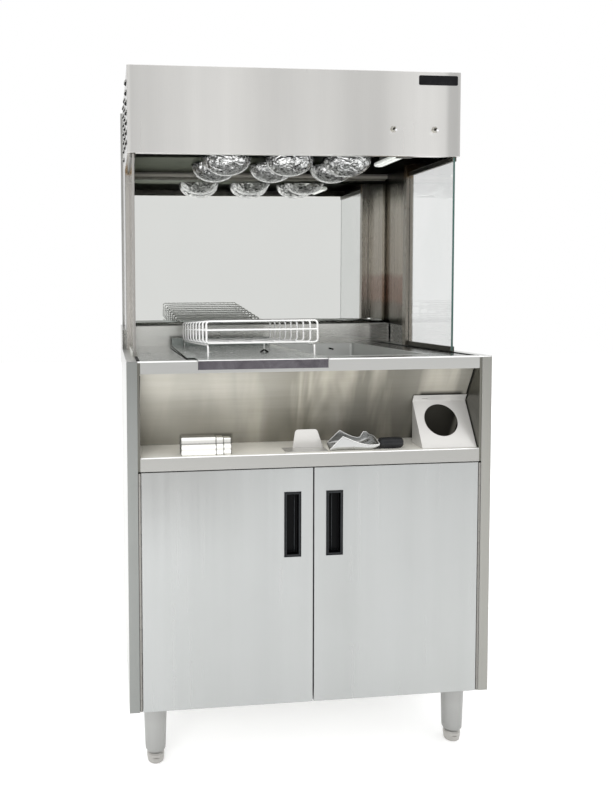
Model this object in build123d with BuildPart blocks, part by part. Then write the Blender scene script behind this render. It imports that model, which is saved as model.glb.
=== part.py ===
from build123d import *
import math
import os

os.makedirs("parts", exist_ok=True)

# ---------------------------------------------------------------------------
# Driving dimensions, millimetres.  +Z up, front of the cabinet towards -Y.
# "d" values are depths measured backwards from the front face of the cabinet.
# ---------------------------------------------------------------------------
WIDTH = 900.0            # cabinet over its side skins
DEPTH = 750.0            # cabinet front face to back flange
FRONT_PROUD = 1.8        # tray lip stands this far in front of the fascia
REAR_PROUD = 10.2        # cable gland stands this far behind the back sheet
F = -(DEPTH + REAR_PROUD - FRONT_PROUD) / 2   # Y of the cabinet front face

BODY_Z = 157.0           # underside of the cabinet
RIM_Z = 1003.0           # worktop rim at the front
RIM_FALL = 0.0284        # fall of the side rims per unit of depth
DECK_Z = 1001.1          # worktop deck just behind the rim, falling towards the back
DECK_FALL = 0.0327       # its fall per unit of depth
HOOD_Z0 = 1514.6         # lower edge of the hood
HEAD_Z0 = 1524.6         # lower edge of the rail over the mirror
HOOD_Z1 = 1733.7         # top of the hood
HOOD_D0 = 166.0          # hood front face, depth
HOOD_HALF = 438.0        # hood half width
ROOF_Z = 1538.8          # lamp plate underside

T = 1.5                  # body sheet
T2 = 1.2                 # lining sheet
STILE = 25.0             # front stile width
RIM_W = 29.5             # side rim width
TOP_X = 417.6            # half width of the worktop between the rims

NICHE_Z = 774.0          # open shelf surface
LIP_Z0 = 741.0           # bottom of the open shelf's front lip
NICHE_D = 142.0          # depth of the open shelf
FASCIA_Z0 = 973.0        # lower edge of the fascia

DOOR_Z0, DOOR_Z1 = 157.5, 738.5
DOOR_HALF = 417.5        # outer edge of each door
DOOR_GAP = 1.5           # half of the gap between the doors
DOOR_T = 20.0
HANDLE_X, HANDLE_Z = 52.0, 601.0
HANDLE_W, HANDLE_H = 42.0, 160.0

HINGE_X, HINGE_D = 421.5, 2.0    # axis of each piano hinge
HINGE_R, HINGE_BORE, PIN_R = 3.2, 1.6, 1.55
KNUCKLES = 20

LEG_X, LEG_D0, LEG_D1 = 385.0, 62.0, 690.0

POST_D, POST_W = 468.0, 25.0
SKIN_X = 436.5           # inner face of the side skins above the worktop
MIRROR_D = 700.0

GLASS_X0, GLASS_X1 = 421.0, 427.0
GLASS_D0 = 170.0

LAMP_DS = (382.0, 528.0)
LAMP_PLAN = ((-151.0, LAMP_DS[0]), (29.0, LAMP_DS[0]), (199.0, LAMP_DS[0]),      # front row of lamps
             (-167.0, LAMP_DS[1]), (9.0, LAMP_DS[1]), (197.0, LAMP_DS[1]))       # rear row of lamps
LAMP_R, LAMP_Z = 68.0, 1487.0
TUBE_X, TUBE_Z = 297.0, 1525.0

SWITCH_XS = (255.0, 367.0)
SWITCH_Z = 1583.5

TRAY_X0, TRAY_X1 = -300.0, 28.0
TRAY_BACK_X0 = -290.0    # left edge of the tray at its rear end
TONGUE_X0, TONGUE_X1 = -281.0, 35.0
TRAY_D0, TRAY_D1 = 76.0, 651.0

RACK_D, RACK_Z = 83.0, 1003.6
RACK_W = 287.0
RACK_PITCH, RACK_LOOPS = 69.3, 9
WIRE = 5.0

PAN_X0, PAN_X1 = 46.0, 318.0
PAN_D0, PAN_D1 = 88.0, 686.0
PAN_DEEP = 100.0

CLEAR = 0.3              # running clearance between loose and fixed pieces


def slab(x0, x1, d0, d1, z0, z1, mode=Mode.ADD):
    """Rectangular block between two x, two depths and two heights."""
    with Locations(((x0 + x1) / 2, F + (d0 + d1) / 2, (z0 + z1) / 2)):
        Box(abs(x1 - x0), abs(d1 - d0), abs(z1 - z0), mode=mode)


def side_profile(points, x0, x1):
    """Prism between x0 and x1 whose outline is given as (depth, z) points."""
    with BuildSketch(Plane.YZ.offset(x0)) as outline:
        with BuildLine():
            Polyline(*[(F + d, z) for d, z in points], close=True)
        make_face()
    extrude(outline.sketch, amount=x1 - x0)


def deck_z(depth):
    """Height of the worktop deck's upper face."""
    return DECK_Z - DECK_FALL * (depth - 20)


def rim_z(depth):
    """Height of the side rims."""
    return RIM_Z - RIM_FALL * depth


# ---------------------------------------------------------------------------
# Cabinet shell
# ---------------------------------------------------------------------------
HALF = WIDTH / 2

with BuildPart() as side_panels:
    side_profile([(0, BODY_Z), (0, RIM_Z), (DEPTH, rim_z(DEPTH)), (DEPTH, BODY_Z)],
                 -HALF, -HALF + T)                                  # outer skin
    slab(-HALF, -HALF + STILE, 0, T, BODY_Z, RIM_Z)                 # front stile
    slab(-HALF + STILE - T, -HALF + STILE, 0, STILE, BODY_Z, RIM_Z - T)  # stile return
    side_profile([(0, RIM_Z), (DEPTH, rim_z(DEPTH)), (DEPTH, rim_z(DEPTH) - T), (0, RIM_Z - T)],
                 -HALF, -HALF + RIM_W)                              # top rim
    slab(-HALF, -HALF + STILE, DEPTH - T, DEPTH, BODY_Z, rim_z(DEPTH) - 0.1)     # rear flange
    slab(-HALF, -HALF + 105, 22, DEPTH, BODY_Z, BODY_Z + T)         # bottom flange over the leg plates
    outer = side_panels.edges().filter_by(Axis.Z).filter_by(
        lambda e: abs(e.center().X + HALF) < 0.01 and abs(e.center().Y - F) < 0.01)
    fillet(outer, 1.2)                                              # bend radius
    mirror(side_panels.part, about=Plane.YZ)
side_panels.part.label = "side_panels"

with BuildPart() as cabinet_back:
    slab(-448.3, 448.3, DEPTH - 2 * T, DEPTH - T, BODY_Z + 2 * T, rim_z(DEPTH) - T - 0.3)
    # stiffening swage pressed across the sheet
    with BuildSketch(Plane.XZ.offset(-(F + DEPTH - 2 * T))):
        for z in (340, 560, 780):
            with Locations((0, z)):
                SlotOverall(700, 16)
    extrude(amount=-T * 0.4, mode=Mode.SUBTRACT)
cabinet_back.part.label = "cabinet_back"

with BuildPart() as cabinet_floor:
    slab(-423.6, 423.6, 22, DEPTH - 2 * T, BODY_Z + T, BODY_Z + 2 * T)
    slab(-423.6, 423.6, 22, 22 + T, BODY_Z + T, BODY_Z + 20)        # upturned front edge
cabinet_floor.part.label = "cabinet_floor"

with BuildPart() as interior_shelf:
    slab(-448.5, 448.5, 60, DEPTH - 2 * T, 440, 441.5)
    slab(-448.5, 448.5, 60, 61.5, 416.5, 440)
    slab(-448.5, -447.0, 60, DEPTH - 2 * T, 416.5, 440)
    slab(447.0, 448.5, 60, DEPTH - 2 * T, 416.5, 440)
interior_shelf.part.label = "interior_shelf"

# ---------------------------------------------------------------------------
# Open shelf (niche) below the fascia
# ---------------------------------------------------------------------------
SLOPE = 0.5765           # depth lost per unit of height on the leaning back
TOP_Z = DECK_Z - T2 - 1.0
TOP_D = NICHE_D - SLOPE * (TOP_Z - NICHE_Z)         # its upper edge, under the deck

with BuildPart() as niche_shelf:
    slab(-419.0, 419.0, 0, 160, NICHE_Z - T2, NICHE_Z)
    slab(-419.0, 419.0, 0, T2, LIP_Z0, NICHE_Z)
    slab(-419.0, 419.0, 0, 40, LIP_Z0, LIP_Z0 + T2)
    slab(-419.0, 419.0, 160 - T2, 160, NICHE_Z - 20, NICHE_Z)
    front_edge = niche_shelf.edges().filter_by(Axis.X).filter_by(
        lambda e: abs(e.center().Y - F) < 0.01 and e.center().Z > NICHE_Z - 0.1)
    fillet(front_edge, 1.0)
niche_shelf.part.label = "niche_shelf"

with BuildPart() as niche_back:
    side_profile([(NICHE_D, NICHE_Z), (TOP_D, TOP_Z), (TOP_D + 1.386, TOP_Z),
                  (NICHE_D + 1.386, NICHE_Z)], -417.6, 417.6)
niche_back.part.label = "niche_back"

with BuildPart() as niche_sides:
    side_profile([(1.5, LIP_Z0), (162, LIP_Z0), (162, NICHE_Z), (60, 975), (60, 998.4),
                  (18, 999.8), (18, RIM_Z - T2), (1.5, RIM_Z - T2)], -420.2, -419.0)
    slab(-425.0, -419.0, T2, 2 * T2, LIP_Z0, RIM_Z - T - 0.3)
    slab(-425.0, -405.0, T2, 2 * T2, FASCIA_Z0 + T2, RIM_Z - T - 0.3)      # tab behind the fascia
    mirror(niche_sides.part, about=Plane.YZ)
niche_sides.part.label = "niche_sides"

# ---------------------------------------------------------------------------
# Worktop
# ---------------------------------------------------------------------------
with BuildPart() as worktop_front:
    slab(-TOP_X, TOP_X, 0, T2, FASCIA_Z0, RIM_Z)                     # fascia
    slab(-TOP_X, TOP_X, 0, 20, RIM_Z - T2, RIM_Z)                    # rim
    slab(-TOP_X, TOP_X, 0, 18, FASCIA_Z0, FASCIA_Z0 + T2)            # return
    rim_edges = worktop_front.edges().filter_by(Axis.X).filter_by(
        lambda e: e.center().Z > RIM_Z - 0.1)
    fillet(rim_edges, 1.0)
worktop_front.part.label = "worktop_front"

with BuildPart() as worktop_deck:
    # front edge tucked under the rim, surface falling to the back splash
    side_profile([(10, deck_z(10)), (MIRROR_D, deck_z(MIRROR_D)), (MIRROR_D, deck_z(MIRROR_D) - T2),
                  (10, deck_z(10) - T2)], -TOP_X, TOP_X)
    slab(PAN_X0 - 3, PAN_X1 + 3, PAN_D0 - 3, PAN_D1 + 3, 960, 1010, Mode.SUBTRACT)
    for s in (-1, 1):                                                # stiffening edges
        side_profile([(62, deck_z(62) - T2), (MIRROR_D, deck_z(MIRROR_D) - T2),
                      (MIRROR_D, deck_z(MIRROR_D) - 18), (62, deck_z(62) - 18)],
                     *((-TOP_X, -TOP_X + T2) if s < 0 else (TOP_X - T2, TOP_X)))
worktop_deck.part.label = "worktop_deck"

with BuildPart() as backsplash:
    slab(-445.5, 445.5, MIRROR_D, MIRROR_D + T2, rim_z(MIRROR_D) + 0.2, 1045)
    slab(-TOP_X, TOP_X, MIRROR_D, MIRROR_D + T2, deck_z(MIRROR_D) - T2, rim_z(MIRROR_D) + 0.2)
    slab(-431, 431, MIRROR_D, MIRROR_D + 16, 1045 - T2, 1045)
    # low upstands along the rear half of the side rims
    for s in (-1, 1):
        side_profile([(POST_D + POST_W + 2, rim_z(POST_D + POST_W + 2)), (DEPTH - T, rim_z(DEPTH - T)),
                      (DEPTH - T, 1045), (POST_D + POST_W + 2, 1045)],
                     *((-449.8, -448.6) if s < 0 else (448.6, 449.8)))
backsplash.part.label = "backsplash"

# ---------------------------------------------------------------------------
# Doors: folded outer skin, flat liner, recessed cup handle
# ---------------------------------------------------------------------------
with BuildPart() as door_left_skin:
    slab(-DOOR_HALF, -DOOR_GAP, 0, DOOR_T, DOOR_Z0, DOOR_Z1)
    slab(-DOOR_HALF + T2, -DOOR_GAP - T2, T2, DOOR_T + 1, DOOR_Z0 + T2, DOOR_Z1 - T2, Mode.SUBTRACT)
    slab(-HANDLE_X - HANDLE_W / 2 + 2, -HANDLE_X + HANDLE_W / 2 - 2, -1, T2 + 1,
         HANDLE_Z - HANDLE_H / 2 + 2, HANDLE_Z + HANDLE_H / 2 - 2, Mode.SUBTRACT)
    folds = door_left_skin.edges().filter_by(Axis.Z).filter_by(
        lambda e: abs(e.center().Y - F) < 0.01 and e.length > 400)
    fillet(folds, 1.0)
door_left_skin.part.label = "door_left_skin"

with BuildPart() as door_right_skin:
    mirror(door_left_skin.part, about=Plane.YZ)
door_right_skin.part.label = "door_right_skin"

with BuildPart() as door_left_liner:
    slab(-DOOR_HALF + T2, -DOOR_GAP - T2, DOOR_T - T2, DOOR_T, DOOR_Z0 + T2, DOOR_Z1 - T2)
    # edge turned in along the closing side
    slab(-DOOR_GAP - T2 - 1.2, -DOOR_GAP - T2, T2 + 0.2, DOOR_T - T2, DOOR_Z0 + T2, DOOR_Z1 - T2)
door_left_liner.part.label = "door_left_liner"

with BuildPart() as door_right_liner:
    mirror(door_left_liner.part, about=Plane.YZ)
door_right_liner.part.label = "door_right_liner"

with BuildPart() as handle_left:
    slab(-HANDLE_X - HANDLE_W / 2, -HANDLE_X + HANDLE_W / 2, -1.2, 0,
         HANDLE_Z - HANDLE_H / 2, HANDLE_Z + HANDLE_H / 2)                   # rim on the skin
    slab(-HANDLE_X - HANDLE_W / 2 + 2.2, -HANDLE_X + HANDLE_W / 2 - 2.2, 0, 17,
         HANDLE_Z - HANDLE_H / 2 + 2.2, HANDLE_Z + HANDLE_H / 2 - 2.2)       # cup
    with BuildSketch(Plane.XZ.offset(-(F - 1.2))):
        with Locations((-HANDLE_X, HANDLE_Z)):
            Rectangle(HANDLE_W - 12, HANDLE_H - 12)
    extrude(amount=-16.2, taper=4, mode=Mode.SUBTRACT)                       # finger recess
handle_left.part.label = "handle_left"

with BuildPart() as handle_right:
    mirror(handle_left.part, about=Plane.YZ)
handle_right.part.label = "handle_right"

# ---------------------------------------------------------------------------
# Piano hinges.  Even knuckles belong to the cabinet, odd ones to the door.
# ---------------------------------------------------------------------------
KN_Z0, KN_Z1 = DOOR_Z0 + 1.0, DOOR_Z1 - 1.0
KN_PITCH = (KN_Z1 - KN_Z0) / KNUCKLES
KN_LEN = KN_PITCH - 0.5


def knuckles(x, which):
    """Barrels of one leaf of a hinge whose axis stands at x."""
    for i in range(KNUCKLES):
        if i % 2 == which:
            z = KN_Z0 + (i + 0.5) * KN_PITCH
            with Locations((x, F + HINGE_D, z)):
                Cylinder(HINGE_R, KN_LEN)


with BuildPart() as hinge_leaves_fixed:
    slab(-425.0, -423.8, 6.0, 24, KN_Z0, KN_Z1)
    for i in range(0, KNUCKLES, 2):
        zc = KN_Z0 + (i + 0.5) * KN_PITCH
        slab(-424.7, -423.8, HINGE_D, 6.0, zc - KN_LEN / 2, zc + KN_LEN / 2)
    knuckles(-HINGE_X, 0)
    with Locations((-HINGE_X, F + HINGE_D, (KN_Z0 + KN_Z1) / 2)):
        Cylinder(HINGE_BORE, KN_Z1 - KN_Z0 + 4, mode=Mode.SUBTRACT)
    mirror(hinge_leaves_fixed.part, about=Plane.YZ)
hinge_leaves_fixed.part.label = "hinge_leaves_fixed"

with BuildPart() as hinge_left_door:
    slab(-418.7, -DOOR_HALF, 6.0, 19.5, KN_Z0, KN_Z1)
    for i in range(1, KNUCKLES, 2):
        zc = KN_Z0 + (i + 0.5) * KN_PITCH
        slab(-418.7, -DOOR_HALF, HINGE_D, 6.0, zc - KN_LEN / 2, zc + KN_LEN / 2)
    knuckles(-HINGE_X, 1)
    with Locations((-HINGE_X, F + HINGE_D, (KN_Z0 + KN_Z1) / 2)):
        Cylinder(HINGE_BORE, KN_Z1 - KN_Z0 + 4, mode=Mode.SUBTRACT)
hinge_left_door.part.label = "hinge_left_door"

with BuildPart() as hinge_right_door:
    mirror(hinge_left_door.part, about=Plane.YZ)
hinge_right_door.part.label = "hinge_right_door"

with BuildPart() as hinge_pins:
    with Locations((-HINGE_X, F + HINGE_D, (KN_Z0 + KN_Z1) / 2),
                   (HINGE_X, F + HINGE_D, (KN_Z0 + KN_Z1) / 2)):
        Cylinder(PIN_R, KN_Z1 - KN_Z0)
hinge_pins.part.label = "hinge_pins"

with BuildPart() as door_catches:
    for x in (-40, 40):
        slab(x - 22, x + 22, 20.6, 36, LIP_Z0 - 13, LIP_Z0)
        slab(x - 17, x - 3, 20.3, 20.6, LIP_Z0 - 10, LIP_Z0 - 3)
        slab(x + 3, x + 17, 20.3, 20.6, LIP_Z0 - 10, LIP_Z0 - 3)
door_catches.part.label = "door_catches"

# ---------------------------------------------------------------------------
# Legs and adjustable feet
# ---------------------------------------------------------------------------
with BuildPart() as leg_proto:
    with BuildSketch(Plane.XZ):
        with BuildLine():
            Polyline((0, 28), (21, 28), (25, 34), (25.6, 42), (29, 153), (27, 153),
                     (23.6, 44), (0, 44), close=True)
        make_face()
    revolve(axis=Axis.Z)
    with BuildSketch(Plane.XY.offset(153)):
        Rectangle(80, 80)
        with GridLocations(62, 62, 2, 2):
            Circle(3.3, mode=Mode.SUBTRACT)
        Circle(26.9, mode=Mode.SUBTRACT)
    extrude(amount=4)
    with Locations((0, 0, 36)):
        Cylinder(6.06, 30, mode=Mode.SUBTRACT)                # threaded bore, plain here

LEG_SPOTS = [(-LEG_X, F + LEG_D0, 0), (LEG_X, F + LEG_D0, 0),
             (-LEG_X, F + LEG_D1, 0), (LEG_X, F + LEG_D1, 0)]

with BuildPart() as leg_tubes:
    with Locations(*LEG_SPOTS):
        add(leg_proto.part)
leg_tubes.part.label = "leg_tubes"

with BuildPart() as foot_proto:
    with BuildSketch(Plane.XZ):
        with BuildLine():
            Polyline((0, 0), (17.5, 0), (19.5, 2), (21.5, 14), (21.5, 22), (19, 26), (6, 26),
                     (6, 104), (0, 104), close=True)
        make_face()
    revolve(axis=Axis.Z)
    # spanner flats
    for s in (-1, 1):
        with Locations((0, s * 22.0, 18)):
            Box(20, 5, 8, mode=Mode.SUBTRACT)

FEET = {}
for foot_name, spot in zip(("foot_front_left", "foot_front_right", "foot_rear_left",
                            "foot_rear_right"), LEG_SPOTS):
    with BuildPart() as foot:
        with Locations(spot):
            add(foot_proto.part)
    foot.part.label = foot_name
    FEET[foot_name] = foot.part

# ---------------------------------------------------------------------------
# Superstructure: posts, side skins, glass, mirror
# ---------------------------------------------------------------------------
with BuildPart() as posts:
    for s in (-1, 1):
        side_profile([(POST_D, rim_z(POST_D)), (POST_D + POST_W, rim_z(POST_D + POST_W)),
                      (POST_D + POST_W, 1560), (POST_D, 1560)],
                     *((-SKIN_X, -SKIN_X + POST_W) if s < 0 else (SKIN_X - POST_W, SKIN_X)))
        slab(s * (SKIN_X - T), s * (SKIN_X - POST_W + T), POST_D + T, POST_D + POST_W - T,
             RIM_Z - 40, 1561, Mode.SUBTRACT)
posts.part.label = "posts"

SLOT_LEN, SLOT_H, SLOT_PITCH = 45.0, 8.0, 25.6
with BuildPart() as upper_side_skins:
    # one sheet a side: tall behind the post, shallow along the hood
    side_profile([(POST_D, rim_z(POST_D)), (POST_D + POST_W, rim_z(POST_D + POST_W)),
                  (POST_D + POST_W, 1045), (DEPTH - T, 1045), (DEPTH - T, HOOD_Z1), (POST_D, HOOD_Z1)],
                 SKIN_X, HOOD_HALF)
    slab(SKIN_X, 450, POST_D + POST_W + 1, DEPTH - T, 1045, 1045 + T)     # ledge over the upstand
    slab(SKIN_X, HOOD_HALF, HOOD_D0 + T, POST_D, HOOD_Z0, HOOD_Z1)
    slab(418.0, SKIN_X, HOOD_D0 + T, POST_D, HOOD_Z0, HOOD_Z0 + T)
    with BuildSketch(Plane.YZ.offset(SKIN_X - 1)):
        for col, d in enumerate((235, 385, 535, 685)):
            for row in range(6 if col % 2 else 7):
                z = HOOD_Z0 + 36 + (col % 2) * SLOT_PITCH / 2 + row * SLOT_PITCH
                with Locations((F + d, z)):
                    SlotOverall(SLOT_LEN, SLOT_H)
    extrude(amount=4, mode=Mode.SUBTRACT)
    mirror(upper_side_skins.part, about=Plane.YZ)
upper_side_skins.part.label = "upper_side_skins"

with BuildPart() as upper_back:
    slab(-444.5, 444.5, DEPTH - T, DEPTH, rim_z(DEPTH - T) + 0.1, HOOD_Z1)
    slab(-450, 450, DEPTH - T, DEPTH, rim_z(DEPTH - T) + 0.1, 1045 + T)
    with Locations(Plane.XZ.offset(-(F + DEPTH)).location * Location((352, 1640, 0))):
        Cylinder(10.2, 10, mode=Mode.SUBTRACT)               # hole for the cable gland
upper_back.part.label = "upper_back"

with BuildPart() as mirror_pane:
    slab(-SKIN_X, SKIN_X, MIRROR_D, MIRROR_D + 4, 1045, HEAD_Z0)
mirror_pane.part.label = "mirror_pane"

with BuildPart() as mirror_gasket:
    slab(-436.3, 436.3, MIRROR_D - 1.2, MIRROR_D, 1043.4, 1047.0)
    for s in (-1, 1):
        slab(s * 435.5, s * SKIN_X, POST_D + POST_W + 0.3, MIRROR_D - 1.4, 1045.0, 1048.0)
mirror_gasket.part.label = "mirror_gasket"

with BuildPart() as mirror_head_rail:
    slab(-SKIN_X, SKIN_X, MIRROR_D - T, MIRROR_D, HEAD_Z0, ROOF_Z)
    slab(-SKIN_X, SKIN_X, MIRROR_D - T, MIRROR_D + 24, HEAD_Z0, HEAD_Z0 + T)
mirror_head_rail.part.label = "mirror_head_rail"

CH0, CH1 = GLASS_X0 - 3.0, GLASS_X1 + 3.0


def band(d0, d1, up0, up1, x0, x1):
    """Strip following a side rim, between two heights above it."""
    side_profile([(d0, rim_z(d0) + up0), (d1, rim_z(d1) + up0), (d1, rim_z(d1) + up1),
                  (d0, rim_z(d0) + up1)], min(x0, x1), max(x0, x1))


with BuildPart() as bottom_grooves:
    for s in (-1, 1):
        band(GLASS_D0 - 1, POST_D + 1, 2, 14, s * (GLASS_X0 - 0.1), s * (GLASS_X1 + 0.1))

with BuildPart() as glass_channels:
    for s in (-1, 1):
        band(GLASS_D0, POST_D, 0, 13, s * CH0, s * CH1)
        slab(s * CH0, s * CH1, GLASS_D0, POST_D, HOOD_Z0 - 12, HOOD_Z0)
        slab(s * (GLASS_X0 - 0.1), s * (GLASS_X1 + 0.1), GLASS_D0 - 1, POST_D + 1,
             HOOD_Z0 - 13, HOOD_Z0 - 2, Mode.SUBTRACT)
    add(bottom_grooves.part, mode=Mode.SUBTRACT)
glass_channels.part.label = "glass_channels"

with BuildPart() as side_glasses:
    for s in (-1, 1):
        side_profile([(GLASS_D0, rim_z(GLASS_D0) + 2), (POST_D, rim_z(POST_D) + 2),
                      (POST_D, HOOD_Z0 - 2), (GLASS_D0, HOOD_Z0 - 2)],
                     *((-GLASS_X1, -GLASS_X0) if s < 0 else (GLASS_X0, GLASS_X1)))
    polished = side_glasses.edges().filter_by(Axis.Z).filter_by(
        lambda e: abs(e.center().Y - F - GLASS_D0) < 0.01)
    chamfer(polished, 0.8)
side_glasses.part.label = "side_glasses"

# ---------------------------------------------------------------------------
# Hood
# ---------------------------------------------------------------------------
with BuildPart() as hood_front:
    slab(-HOOD_HALF, HOOD_HALF, HOOD_D0, HOOD_D0 + T, HOOD_Z0, HOOD_Z1)
    slab(-417.8, 417.8, HOOD_D0, HOOD_D0 + 18, HOOD_Z0, HOOD_Z0 + T)
    front_folds = hood_front.edges().filter_by(
        lambda e: abs(e.center().Y - F - HOOD_D0) < 0.01 and e.length > 100)
    fillet(front_folds, 1.0)
    with Locations(Plane.XZ.offset(-(F + HOOD_D0)).location * Location((SWITCH_XS[0], SWITCH_Z, 0)),
                   Plane.XZ.offset(-(F + HOOD_D0)).location * Location((SWITCH_XS[1], SWITCH_Z, 0))):
        Cylinder(6.1, 10, mode=Mode.SUBTRACT)                # holes for the toggles
hood_front.part.label = "hood_front"

with BuildPart() as hood_top:
    slab(-SKIN_X, SKIN_X, HOOD_D0 + T, DEPTH - T, HOOD_Z1 - T, HOOD_Z1)
hood_top.part.label = "hood_top"

with BuildPart() as lamp_plate:
    slab(-SKIN_X, SKIN_X, HOOD_D0 + T, MIRROR_D, ROOF_Z, ROOF_Z + T2)
    for s in (-1, 1):
        slab(s * 440, s * (SKIN_X - POST_W - 0.3), POST_D - 0.4, POST_D + POST_W + 0.4,
             ROOF_Z - 5, ROOF_Z + 5, Mode.SUBTRACT)
    with Locations(*[(x, F + d, ROOF_Z) for x, d in LAMP_PLAN]):
        Cylinder(LAMP_R + 1.5, 10, mode=Mode.SUBTRACT)
lamp_plate.part.label = "lamp_plate"

with BuildPart() as lamp_rails:
    for d in LAMP_DS:
        slab(-260, 290, d - 24, d + 24, 1698, HOOD_Z1 - T)
        slab(-261, 291, d - 22.5, d + 22.5, 1699.5, HOOD_Z1, Mode.SUBTRACT)
    with Locations(*[(x, F + d, 1699) for x, d in LAMP_PLAN]):
        Cylinder(3.2, 8, mode=Mode.SUBTRACT)                 # wire holes
lamp_rails.part.label = "lamp_rails"

# ---------------------------------------------------------------------------
# Infrared reflector lamps, screw caps and ceramic sockets
# ---------------------------------------------------------------------------
FACE_R = (45 ** 2 + 13.3 ** 2) / 26.6            # dome radii, centred on the lamp's axis
FACE_IN = (44.3 ** 2 + 13.2 ** 2) / 26.4
with BuildPart() as bulb_proto:
    with BuildSketch(Plane.XZ):
        with BuildLine():
            face = ThreePointArc((0, 0), (24, FACE_R - math.sqrt(FACE_R ** 2 - 24 ** 2)), (45, 13.3))
            rim = ThreePointArc(face @ 1, (60.2, 26), (LAMP_R, 46))
            belly = ThreePointArc(rim @ 1, (65.6, 62), (56, 81))
            cone = ThreePointArc(belly @ 1, (36.6, 107), (18, 134))
            neck = Line(cone @ 1, (18, 146))
            lip = Line(neck @ 1, (16.6, 146))
            neck_in = Line(lip @ 1, (16.6, 133.6))
            cone_in = ThreePointArc(neck_in @ 1, (35.2, 106.3), (54.7, 80.4))
            belly_in = ThreePointArc(cone_in @ 1, (64.2, 61.6), (LAMP_R - 1.4, 46))
            rim_in = ThreePointArc(belly_in @ 1, (58.9, 26.7), (44.3, 14.6))
            face_in = ThreePointArc(rim_in @ 1, (23.7, 1.4 + FACE_IN - math.sqrt(FACE_IN ** 2 - 23.7 ** 2)), (0, 1.4))
            Line(face_in @ 1, face @ 0)
        make_face()
    revolve(axis=Axis.Z)

LAMP_SPOTS = [(x, F + d, LAMP_Z) for x, d in LAMP_PLAN]

with BuildPart() as heat_lamps:
    with Locations(*LAMP_SPOTS):
        add(bulb_proto.part)
heat_lamps.part.label = "heat_lamps"

with BuildPart() as cap_proto:
    with BuildSketch(Plane.XZ):
        with BuildLine():
            Polyline((0, 146), (18, 146), (18, 148), (13, 150), (13, 172), (6, 175), (6, 178), (0, 178),
                     close=True)
        make_face()
    revolve(axis=Axis.Z)

with BuildPart() as lamp_caps:
    with Locations(*LAMP_SPOTS):
        add(cap_proto.part)
lamp_caps.part.label = "lamp_caps"

with BuildPart() as socket_proto:
    with BuildSketch(Plane.XZ):
        with BuildLine():
            Polyline((13.2, 152), (20, 152), (23, 158), (23, 190), (17, 198), (17, 211), (3.5, 211),
                     (3.5, 180), (13.2, 178), close=True)
        make_face()
    revolve(axis=Axis.Z)

with BuildPart() as lamp_sockets:
    with Locations(*LAMP_SPOTS):
        add(socket_proto.part)
lamp_sockets.part.label = "lamp_sockets"

# Twin-tube light, tubes running front to back, U bend at the rear
with BuildPart() as light_tube:
    with BuildLine(Plane.XY.offset(TUBE_Z)) as tube_path:
        a = Line((TUBE_X - 9, F + 205), (TUBE_X - 9, F + 386))
        b = ThreePointArc(a @ 1, (TUBE_X, F + 395), (TUBE_X + 9, F + 386))
        Line(b @ 1, (TUBE_X + 9, F + 205))
    with BuildSketch(Plane(origin=(TUBE_X - 9, F + 205, TUBE_Z), z_dir=(0, 1, 0))):
        Circle(6.5)
    sweep(path=tube_path.wire())
light_tube.part.label = "light_tube"

with BuildPart() as light_holder:
    slab(TUBE_X - 20, TUBE_X + 20, 190, 205, TUBE_Z - 11, ROOF_Z)
    slab(TUBE_X - 16, TUBE_X + 16, 184.4, 190, TUBE_Z - 8, ROOF_Z)
    slab(TUBE_X - 14, TUBE_X + 14, 340, 346, TUBE_Z + 6.5, ROOF_Z)             # spring clip
light_holder.part.label = "light_holder"

# ---------------------------------------------------------------------------
# Toggle switches
# ---------------------------------------------------------------------------
with BuildPart() as switch_proto:
    # body behind the panel and bushing through it; local -Y is outwards
    with Locations((0, 11.5, 0)):
        Box(13, 20, 28)
    with Locations(Location((0, -2.5, 0), (90, 0, 0))):
        Cylinder(6.0, 8.0)
    with Locations(Location((0, -1.5, 0), (90, 0, 0))):
        Cylinder(4.3, 14.0, mode=Mode.SUBTRACT)

SWITCH_SPOTS = [(x, F + HOOD_D0, SWITCH_Z) for x in SWITCH_XS]

with BuildPart() as switch_bodies:
    with Locations(*SWITCH_SPOTS):
        add(switch_proto.part)
    for spot in SWITCH_SPOTS:
        with BuildSketch(Plane(origin=spot, x_dir=(1, 0, 0), z_dir=(0, -1, 0))) as nut_outline:
            RegularPolygon(9.0, 6)
            Circle(6.02, mode=Mode.SUBTRACT)
        extrude(amount=2.6)
switch_bodies.part.label = "switch_bodies"

TILT = math.radians(14)
LEVER_DIR = (0, -math.cos(TILT), -math.sin(TILT))
LEVERS = {}
for lever_name, x in zip(("toggle_heat", "toggle_light"), SWITCH_XS):
    with BuildPart() as lever:
        with BuildSketch(Plane(origin=(x, F + HOOD_D0 - 1.0, SWITCH_Z), x_dir=(1, 0, 0), z_dir=LEVER_DIR)):
            Circle(1.5)
        extrude(amount=17.0, taper=-3.2)
        with Locations((x, F + HOOD_D0 - 1.0, SWITCH_Z)):
            Sphere(2.4)
        with Locations(Location((x, F + HOOD_D0 - 1.0, SWITCH_Z), (0, 90, 0))):
            Cylinder(1.0, 7.2)                               # cross pin
        tip = (x, F + HOOD_D0 - 1.0 + 17.0 * LEVER_DIR[1], SWITCH_Z + 17.0 * LEVER_DIR[2])
        with Locations(tip):
            Sphere(2.5)
    lever.part.label = lever_name
    LEVERS[lever_name] = lever.part

with BuildPart() as badge_plate:
    with BuildSketch(Plane.XZ.offset(-(F + HOOD_D0))):
        with Locations((376.5, 1711.5)):
            RectangleRounded(106, 25, 4)
    extrude(amount=1.2)
    chamfer(badge_plate.faces().sort_by(Axis.Y)[0].edges(), 0.4)
badge_plate.part.label = "badge_plate"

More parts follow.
